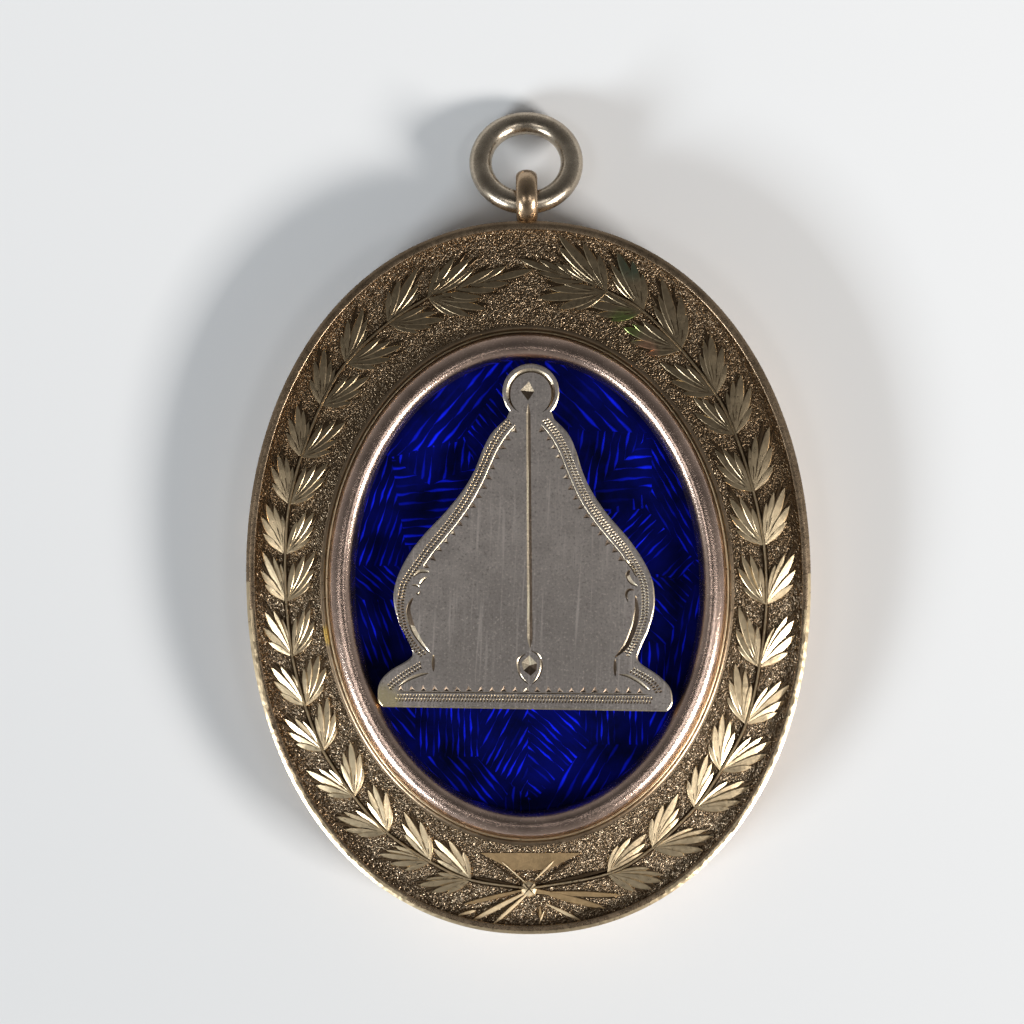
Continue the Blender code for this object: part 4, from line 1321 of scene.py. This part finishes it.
class JEWEL_OT_enamel(bpy.types.Operator):
    """Model the enamel panel, whose top is divided into the fans of flutes cut under the enamel"""

    bl_idname = "jewel.enamel"
    bl_label = "Enamel panel"

    def execute(self, context):
        points = [window(2 * math.pi * i / PANEL_SIDES, PANEL_GROW) for i in range(PANEL_SIDES)]
        faces = [list(range(PANEL_SIDES))]
        for corners, _, _ in FANS:
            first = len(points)
            points += counter_clockwise(read_pixels(corners))
            faces.append(list(range(first, len(points))))
        corners, _, kept = triangulated(points, [], faces, MERGE)
        mesh = bpy.data.meshes.new("enamel")
        mesh.from_pydata([(p.x, p.y, PANEL_HIGH.z) for p in corners], [], [triangle for triangle, _ in kept])
        panel = placed("enamel_top", mesh)
        flutes = mesh.uv_layers.new(name="flutes")
        for face, (_, owner) in zip(mesh.polygons, kept):
            region = max(owner)
            angle, pitch = FANS[region - 1][1:] if region else PLAIN_FAN
            along = Matrix.Rotation(CAMERA_TURN, 2) @ polar(1.0, math.radians(angle))
            for loop in face.loop_indices:
                point = mesh.vertices[mesh.loops[loop].vertex_index].co.xy
                flutes.data[loop].uv = (point.dot(-left_of(along)) / (pitch * PIXEL) + FAN_SHIFT * region,
                                        point.dot(along) / (pitch * PIXEL))
        with Editing(panel):
            bpy.ops.mesh.delete_loose()
            bpy.ops.mesh.select_all(action="SELECT")
            extrude(PANEL_LOW.z - PANEL_HIGH.z)
        close_up(panel)
        glass = self.enamel_finish(context.scene.jewel_colours)
        finish_piece(panel, [glass], "frame", "enamel", "enamel_panel")
        return {"FINISHED"}

    def enamel_finish(self, colours):
        """Blue glass over engraved flutes: painted highlights in bright strokes, sharp at one end, under a
        smooth glossy coat.
        """
        finish = Finish("blue_enamel")
        maths = finish.maths
        chart = finish.add("ShaderNodeUVMap", uv_map="flutes").outputs["UV"]
        waver = finish.add("ShaderNodeTexNoise", Scale=0.45, Detail=2)
        finish.join(chart, waver.inputs["Vector"])
        parts = finish.split(chart)
        across = maths("ADD", maths("MULTIPLY", parts["X"], FLUTE_RATE),
                       maths("MULTIPLY", waver.outputs["Fac"], FLUTE_WAVER))
        row = maths("FLOOR", across)
        own = finish.add("ShaderNodeTexWhiteNoise", noise_dimensions="1D")
        finish.join(row, own.inputs["W"])
        along = maths("ADD", maths("MULTIPLY", parts["Y"], HIGHLIGHT_RATE),
                      maths("MULTIPLY", own.outputs["Value"], ROW_SHIFT))
        cell = finish.add("ShaderNodeCombineXYZ")
        finish.join(row, cell.inputs["X"])
        finish.join(maths("FLOOR", along), cell.inputs["Y"])
        lot = finish.add("ShaderNodeTexWhiteNoise", noise_dimensions="2D")
        finish.join(cell.outputs["Vector"], lot.inputs["Vector"])
        chance = lot.outputs["Value"]
        offset = maths("SUBTRACT", maths("FRACT", across), finish.span(chance, 0.62, 0.30))
        tail = maths("FRACT", along)
        taper = maths("MULTIPLY", finish.ramp(tail, 0.98, 0.30), finish.ramp(tail, 0.0, 0.30))
        breadth = maths("MULTIPLY", taper, HIGHLIGHT_BREADTH)
        ridge = finish.ramp(maths("SUBTRACT", maths("ABSOLUTE", offset), breadth), 0.07, -0.13)
        # The strokes are painted highlights, dimmed in cloudy patches that also lighten the base
        stroke = maths("MULTIPLY", ridge, finish.ramp(chance, 0.0, 0.80))
        clouds = finish.patches(150, 0.34, 0.60)
        bright = maths("MULTIPLY", stroke, finish.span(clouds, 0.30, 1.0))
        under = finish.blend(clouds, colours.deep, mixture(colours.enamel, colours.deep, 0.93))
        finish.dress(finish.blend(bright, under, colours.enamel), 0.0, 0.6, Specular_IOR_Level=0.02,
                     Coat_Weight=0.10, Coat_Roughness=0.03, Coat_IOR=1.4)
        finish.bump(stroke, 0.35, 0.0002)
        return finish.material


def plate_place(point):
    """A point of the plumb plate's flat frame in the jewel's."""
    return PLATE_PLACE + Matrix.Rotation(PLATE_LEAN, 2) @ point


def plate_point(pixel):
    """A photo pixel in the plumb plate's flat frame."""
    return Matrix.Rotation(-PLATE_LEAN, 2) @ (place_of_pixel(pixel) - PLATE_PLACE)


def plate_path(pixels):
    """A smooth path through photo pixels in the plumb plate's flat frame."""
    return smooth_path([plate_point(pixel) for pixel in pixels], CUT_STEPS)


def plate_outline():
    """Points round the plumb plate: base, bell-shaped sides and round finial."""
    right = [Vector((r * PLATE_HALF_WIDTH, h * PLATE_HEIGHT)) for h, r, _ in PLATE_PROFILE]
    left = [Vector((-l * PLATE_HALF_WIDTH, h * PLATE_HEIGHT)) for h, _, l in reversed(PLATE_PROFILE)]
    start = heading_of(right[-1] - FINIAL_CENTRE)
    sweep = math.pi - 2 * start
    turns = [start + sweep * step / FINIAL_STEPS for step in range(1, FINIAL_STEPS)]
    arc = [FINIAL_CENTRE + polar(FINIAL_RADIUS, turn) for turn in turns]
    return smooth_path(right, CUT_STEPS) + arc + smooth_path(left, CUT_STEPS)


class Engraving:
    """Cuts gathered as flat outlines with lowered points, which one triangulation then lays in a plate."""

    def __init__(self, border, flat, drop):
        self.points = list(border) + list(flat)
        self.depths = [drop] * len(border) + [0.0] * len(flat)
        self.faces = [list(range(len(border))), list(range(len(border), len(self.points)))]
        self.edges = []
        self.limits = {}

    def put(self, point, depth):
        """Add one point at a depth below the surface."""
        self.points.append(point)
        self.depths.append(depth)
        return len(self.points) - 1

    def groove(self, path, width, depth, skew=0.0):
        """A V-shaped cut along a path, pointed at both ends, whose deepest line may lie to one side."""
        left, right, middle = [], [], []
        for i in range(1, len(path) - 1):
            along = (path[i + 1] - path[i - 1]).normalized()
            across = left_of(along) * width(i / (len(path) - 1)) / 2
            left.append(self.put(path[i] + across, 0.0))
            right.append(self.put(path[i] - across, 0.0))
            middle.append(self.put(path[i] + skew * across, depth))
        first = self.put(path[0], 0.0)
        last = self.put(path[-1], 0.0)
        self.faces.append([first] + right + [last] + left[::-1])
        chain = [first] + middle + [last]
        self.edges += list(zip(chain, chain[1:]))

    def pit(self, corners, deepest, depth, limit=0.0):
        """A faceted pit with its deepest point inside its corners, whose facets take the painted highlight
        past a limit.
        """
        self.limits[len(self.faces)] = limit
        ring = [self.put(corner, 0.0) for corner in counter_clockwise(corners)]
        low = self.put(deepest, depth)
        self.faces.append(ring)
        self.edges += [(corner, low) for corner in ring]

    def lay(self, name, height_at):
        """The plate's top as a mesh, with the cuts lowered into it and their faces given painted highlight
        or shade.
        """
        corners, origins, kept = triangulated(self.points, self.edges, self.faces, CUT_MERGE)
        depths = [max([self.depths[i] for i in origin] or [0.0]) for origin in origins]
        mesh = bpy.data.meshes.new(name)
        mesh.from_pydata([height_at(p, d) for p, d in zip(corners, depths)], [], [t for t, _ in kept])
        for face, (_, owner) in zip(mesh.polygons, kept):
            facing = face.normal.xy.normalized() if face.normal.xy.length > MERGE else Vector((0, 0))
            # Cut faces towards the lit side take the painted highlight finish, the others the painted shade
            # finish
            lit = facing.dot(LIT_SIDE) > self.limits.get(max(owner), 0.0)
            if max(owner) != 1:
                face.material_index = 1 if lit else (2 if max(owner) else 0)
        return placed(name, mesh)


def even_steps(start, end, steps):
    """Points at even steps from one to another."""
    return [start.lerp(end, i / steps) for i in range(steps + 1)]


def even_bow(share):
    """Width along a cut that swells in its middle."""
    return math.sin(math.pi * share) ** 0.6


def offset_path(path, distance):
    """A path moved to its left side."""
    moved = []
    for i, point in enumerate(path):
        along = (path[min(i + 1, len(path) - 1)] - path[max(i - 1, 0)]).normalized()
        moved.append(point + distance * left_of(along))
    return moved


def walk(path, pitch):
    """Places and directions along a path at an even pitch."""
    left = pitch / 2
    for start, end in zip(path, path[1:]):
        run = (end - start).length
        while left <= run:
            yield start.lerp(end, left / run), (end - start).normalized()
            left += pitch
        left -= run


class JEWEL_OT_plumb(bpy.types.Operator):
    """Model the raised plumb plate with its engraving"""

    bl_idname = "jewel.plumb"
    bl_label = "Plumb plate"

    def execute(self, context):
        border = plate_outline()
        work = Engraving(border, offset_path(border + border[:2], PLATE_BEVEL)[1:-1], PLATE_BEVEL_DROP)
        self.engrave(work, context.scene.jewel_sizes.cut_depth)
        plate = work.lay("plumb", lambda point, depth: (*plate_place(point), PLATE_TOP - depth))
        with Editing(plate):
            bpy.ops.mesh.delete_loose()
        with Editing(plate, wanted=is_open):
            extrude(PLATE_BEVEL_DROP - PLATE_THICKNESS)
            bpy.ops.mesh.edge_face_add()
        close_up(plate)
        # The second and third finishes are lifted and lowered silver: painted highlight and painted shade
        finishes = [self.silver_finish(context.scene.jewel_colours.silver, *row) for row in SILVER_FINISHES]
        finish_piece(plate, finishes, "frame", "silver", "plumb_plate")
        return {"FINISHED"}

    def engrave(self, work, depth):
        """The plumb line and its bob, the horseshoe in the finial and the borders of cuts."""
        work.pit([plate_point(pixel) for pixel in MARK], plate_point(MARK_DEEPEST), depth * MARK_SHARE)
        line = even_steps(plate_point(LINE_TOP), plate_point(LINE_FOOT), 24)
        work.groove(line, lambda share: LINE_BREADTH + LINE_SWELL * share, depth * LINE_SHARE, LINE_SKEW)
        turns = [math.radians(SHOE_START + SHOE_SWEEP * step / SHOE_STEPS) for step in range(SHOE_STEPS + 1)]
        shoe = [FINIAL_CENTRE + SHOE_SHIFT + polar(SHOE_RADIUS, turn) for turn in turns]
        work.groove(shoe, lambda share: SHOE_BREADTH * min(1.0, 5 * share, 5 - 5 * share), depth, SHOE_SKEW)
        work.pit([plate_point(pixel) for pixel in BOB], plate_point(BOB_DEEPEST), depth)
        cuts = [(side, BOB_SIDE_BREADTH, BASE_SHARE, 0.0) for side in BOB_SIDES]
        cuts += [(pixels, breadth, LEAF_CUT_SHARE, -SHOE_SKEW) for pixels, breadth in PLATE_CUTS]
        for pixels, breadth, share, skew in cuts:
            work.groove(plate_path(pixels), lambda along: breadth * even_bow(along), depth * share, skew)
        for pixels in BELL_BANDS:
            self.mill(work, plate_path(pixels), depth * BAND_SHARE)
            upper = plate_path([pixel for pixel in pixels if THREAD_HIGH < pixel[1] < THREAD_LOW])
            self.nick(work, offset_path(upper, THREAD_SHIFT), NICK_PITCH, depth * NICK_SHARE)
        for pixels in FOOT_BANDS:
            self.mill(work, plate_path(pixels), depth * BAND_SHARE)
        base = even_steps(plate_point(BASE_LEFT), plate_point(BASE_RIGHT), 30)
        self.nick(work, base, BASE_NICK_PITCH, depth * BASE_SHARE)
        self.mill(work, offset_path(base, -BASE_BAND), depth * BASE_SHARE)

    def mill(self, work, path, depth):
        """A milled band: two rows of short cuts that lie across it, hooked like commas."""
        for point, along in walk(path, MILL_PITCH):
            inwards = left_of(along)
            for shift in (-MILL_ROW, MILL_ROW):
                middle = point + shift * inwards + (0 if shift < 0 else MILL_PITCH / 2) * along
                reach = MILL_LENGTH / 2 * inwards
                hook = MILL_HOOK * along
                stroke = [middle - reach - hook, middle - MILL_BEND * reach, middle + MILL_BEND * reach,
                          middle + reach - hook]
                work.groove(stroke, lambda share: MILL_BREADTH, depth, MILL_SKEW)

    def nick(self, work, path, pitch, depth):
        """A fine thread with a row of small three-cornered nicks along its inner side."""
        draw = random.Random(len(path))
        work.groove(path, lambda share: THREAD_BREADTH, depth * THREAD_SHARE)
        for point, along in walk(path, pitch):
            inwards = left_of(along)
            half = NICK_HALF * draw.uniform(*NICK_SIZES)
            reach = NICK_REACH * draw.uniform(*NICK_SIZES) * inwards
            reach += draw.uniform(*NICK_TILTS) * half * along
            root = point + inwards * THREAD_BREADTH
            corners = [root - half * along, root + half * along, root + reach]
            work.pit(corners, root + NICK_DEEPEST * reach, depth, NICK_HIGHLIGHT_LIMIT)

    def silver_finish(self, metal, name, roughness, lift):
        """Tarnished silver with a mottled, finely scratched satin surface, lifted or lowered for painted
        highlight and shade.
        """
        silver = [min(1.0, share * part) for share, part in zip(lift, metal)]
        finish = Finish(name)
        patches = finish.patches(420, 0.3, 0.7)
        fine = finish.patches(3400, 0.3, 0.7)
        scratches = finish.effect("fine_scratches", scratch_group, Turn=0.06, Scale=2600, Stretch=0.03)
        foot = finish.maths("MULTIPLY", finish.spot(DARK_FOOT, PLATE_TOP, DARK_FOOT_REACH), 0.6)
        corner = finish.maths("MULTIPLY", finish.spot(GILT_CORNER, PLATE_TOP, GILT_CORNER_REACH),
                              finish.span(patches, 0.9, 0.4))
        mixed = finish.blend(patches, silver, scaled(silver, 0.72))
        for mask, over in ((foot, scaled(silver, 0.6)),
                           (finish.ramp(fine, 0.40, 0.0), scaled(silver, 1.35)),
                           (finish.ramp(fine, 0.55, 1.0), scaled(silver, 0.45)),
                           (finish.maths("MULTIPLY", scratches, 0.55), scaled(silver, 1.5)),
                           (corner, GILT_TRACE)):
            mixed = finish.blend(mask, mixed, over)
        finish.dress(mixed, 1.0, roughness, finish.span(fine, roughness - 0.05, roughness + 0.08))
        finish.bump(fine, 0.3, 0.00002)
        return finish.material


class JEWEL_OT_ring(bpy.types.Operator):
    """Model the round suspension ring"""

    bl_idname = "jewel.ring"
    bl_label = "Suspension ring"

    def execute(self, context):
        hold()
        bpy.ops.mesh.primitive_torus_add(major_segments=128, minor_segments=40, major_radius=RING_RADIUS,
                                         minor_radius=RING_WIRE / 2, location=(0, 0, 0))
        ring = bpy.context.object
        ring.name = "ring"
        with Editing(ring):
            bpy.ops.transform.translate(value=(0, RING_RADIUS, 0))
        ring.data.transform(Matrix.Translation(SWING) @ Matrix.Rotation(-RING_TILT, 4, "X"))
        close_up(ring, SMOOTH_ANGLE)
        finish_piece(ring, [gilt_finish(context, "ring_gilt")], "ring", "gilt", "suspension_ring")
        return {"FINISHED"}


class JEWEL_OT_stage(bpy.types.Operator):
    """Set up the pale floor, the soft lights and the camera straight above"""

    bl_idname = "jewel.stage"
    bl_label = "Stage"

    def execute(self, context):
        scene = context.scene
        hold()
        bpy.ops.mesh.primitive_plane_add(size=3.0, location=(0, 0, 0))
        floor = context.object
        floor.name = "floor"
        paint = Finish("pale_paper")
        parts = paint.split(paint.place)
        # Painted shade: the floor darkens towards the lower left
        slopes = [paint.maths("MULTIPLY", parts[axis], rate) for axis, rate in FLOOR_SHADE_SLOPE]
        slope = paint.maths("ADD", *slopes)
        paint.dress(paint.blend(paint.ramp(slope, -1, 1), FLOOR_SHADED, FLOOR_LIT), 0.0, 0.9)
        floor.data.materials.append(paint.material)
        for lamp in LAMPS:
            self.add_light(**lamp)
        self.add_world(scene)
        lens = bpy.data.cameras.new("camera")
        camera = placed("camera", lens)
        camera.location = CAMERA_PLACE
        camera.rotation_euler = (0, 0, CAMERA_TURN)
        lens.sensor_width = SENSOR
        lens.lens = LENS
        lens.clip_start = 0.01
        scene.camera = camera
        scene.view_settings.view_transform = "Standard"
        return {"FINISHED"}

    def add_light(self, name, azimuth, elevation, breadth, height, power, colour):
        """One soft box that faces the jewel."""
        data = bpy.data.lights.new(name, "AREA")
        data.shape = "RECTANGLE"
        data.size = breadth
        data.size_y = height
        data.energy = power
        data.color = colour
        light = placed(name, data)
        flat = polar(LAMP_DISTANCE * math.cos(math.radians(elevation)), math.radians(azimuth))
        light.location = (flat.x, flat.y, LAMP_DISTANCE * math.sin(math.radians(elevation)))
        light.rotation_euler = (-light.location).to_track_quat("-Z", "Y").to_euler()
        light.visible_camera = False

    def add_world(self, scene):
        """A dim room, darker overhead."""
        scene.world = bpy.data.worlds.new("room")
        scene.world.use_nodes = True
        room = Nodes(scene.world.node_tree)
        back = room.tree.nodes["Background"]
        place = room.add("ShaderNodeTexCoord")
        parts = room.add("ShaderNodeSeparateXYZ")
        ramp = room.add("ShaderNodeMapRange", From_Min=0.2, From_Max=0.95, To_Min=0.28, To_Max=0.065)
        room.wire((place, "Generated", parts, "Vector"), (parts, "Z", ramp, "Value"),
                  (ramp, "Result", back, "Strength"))
        back.inputs["Color"].default_value = (1.0, 1.0, 1.0, 1)


class JEWEL_PT_panel(bpy.types.Panel):
    """Lists the jewel's settings and pieces in the 3D view's sidebar"""

    bl_label = "Collar jewel"
    bl_idname = "JEWEL_PT_panel"
    bl_space_type = "VIEW_3D"
    bl_region_type = "UI"
    bl_category = "Jewel"

    def draw(self, context):
        for group in (context.scene.jewel_sizes, context.scene.jewel_colours):
            for name in group.__annotations__:
                self.layout.prop(group, name)
        for operator in OPERATORS:
            self.layout.operator(operator.bl_idname)


OPERATORS = (JEWEL_OT_frame, JEWEL_OT_back, JEWEL_OT_bezel, JEWEL_OT_enamel, JEWEL_OT_plumb, JEWEL_OT_ring,
             JEWEL_OT_stage)
CLASSES = (JewelSizes, JewelColours) + OPERATORS + (JEWEL_PT_panel,)


def register():
    """Add the classes and the two groups of settings."""
    for kind in CLASSES:
        bpy.utils.register_class(kind)
    bpy.types.Scene.jewel_sizes = bpy.props.PointerProperty(type=JewelSizes)
    bpy.types.Scene.jewel_colours = bpy.props.PointerProperty(type=JewelColours)


def unregister():
    """Take the settings and the classes away again."""
    del bpy.types.Scene.jewel_colours
    del bpy.types.Scene.jewel_sizes
    for kind in reversed(CLASSES):
        bpy.utils.unregister_class(kind)


def main():
    """Dress the jewel piece by piece."""
    register()
    bpy.ops.jewel.frame()
    bpy.ops.jewel.back()
    bpy.ops.jewel.bezel()
    bpy.ops.jewel.enamel()
    bpy.ops.jewel.plumb()
    bpy.ops.jewel.ring()
    bpy.ops.jewel.stage()


if __name__ == "__main__":
    main()
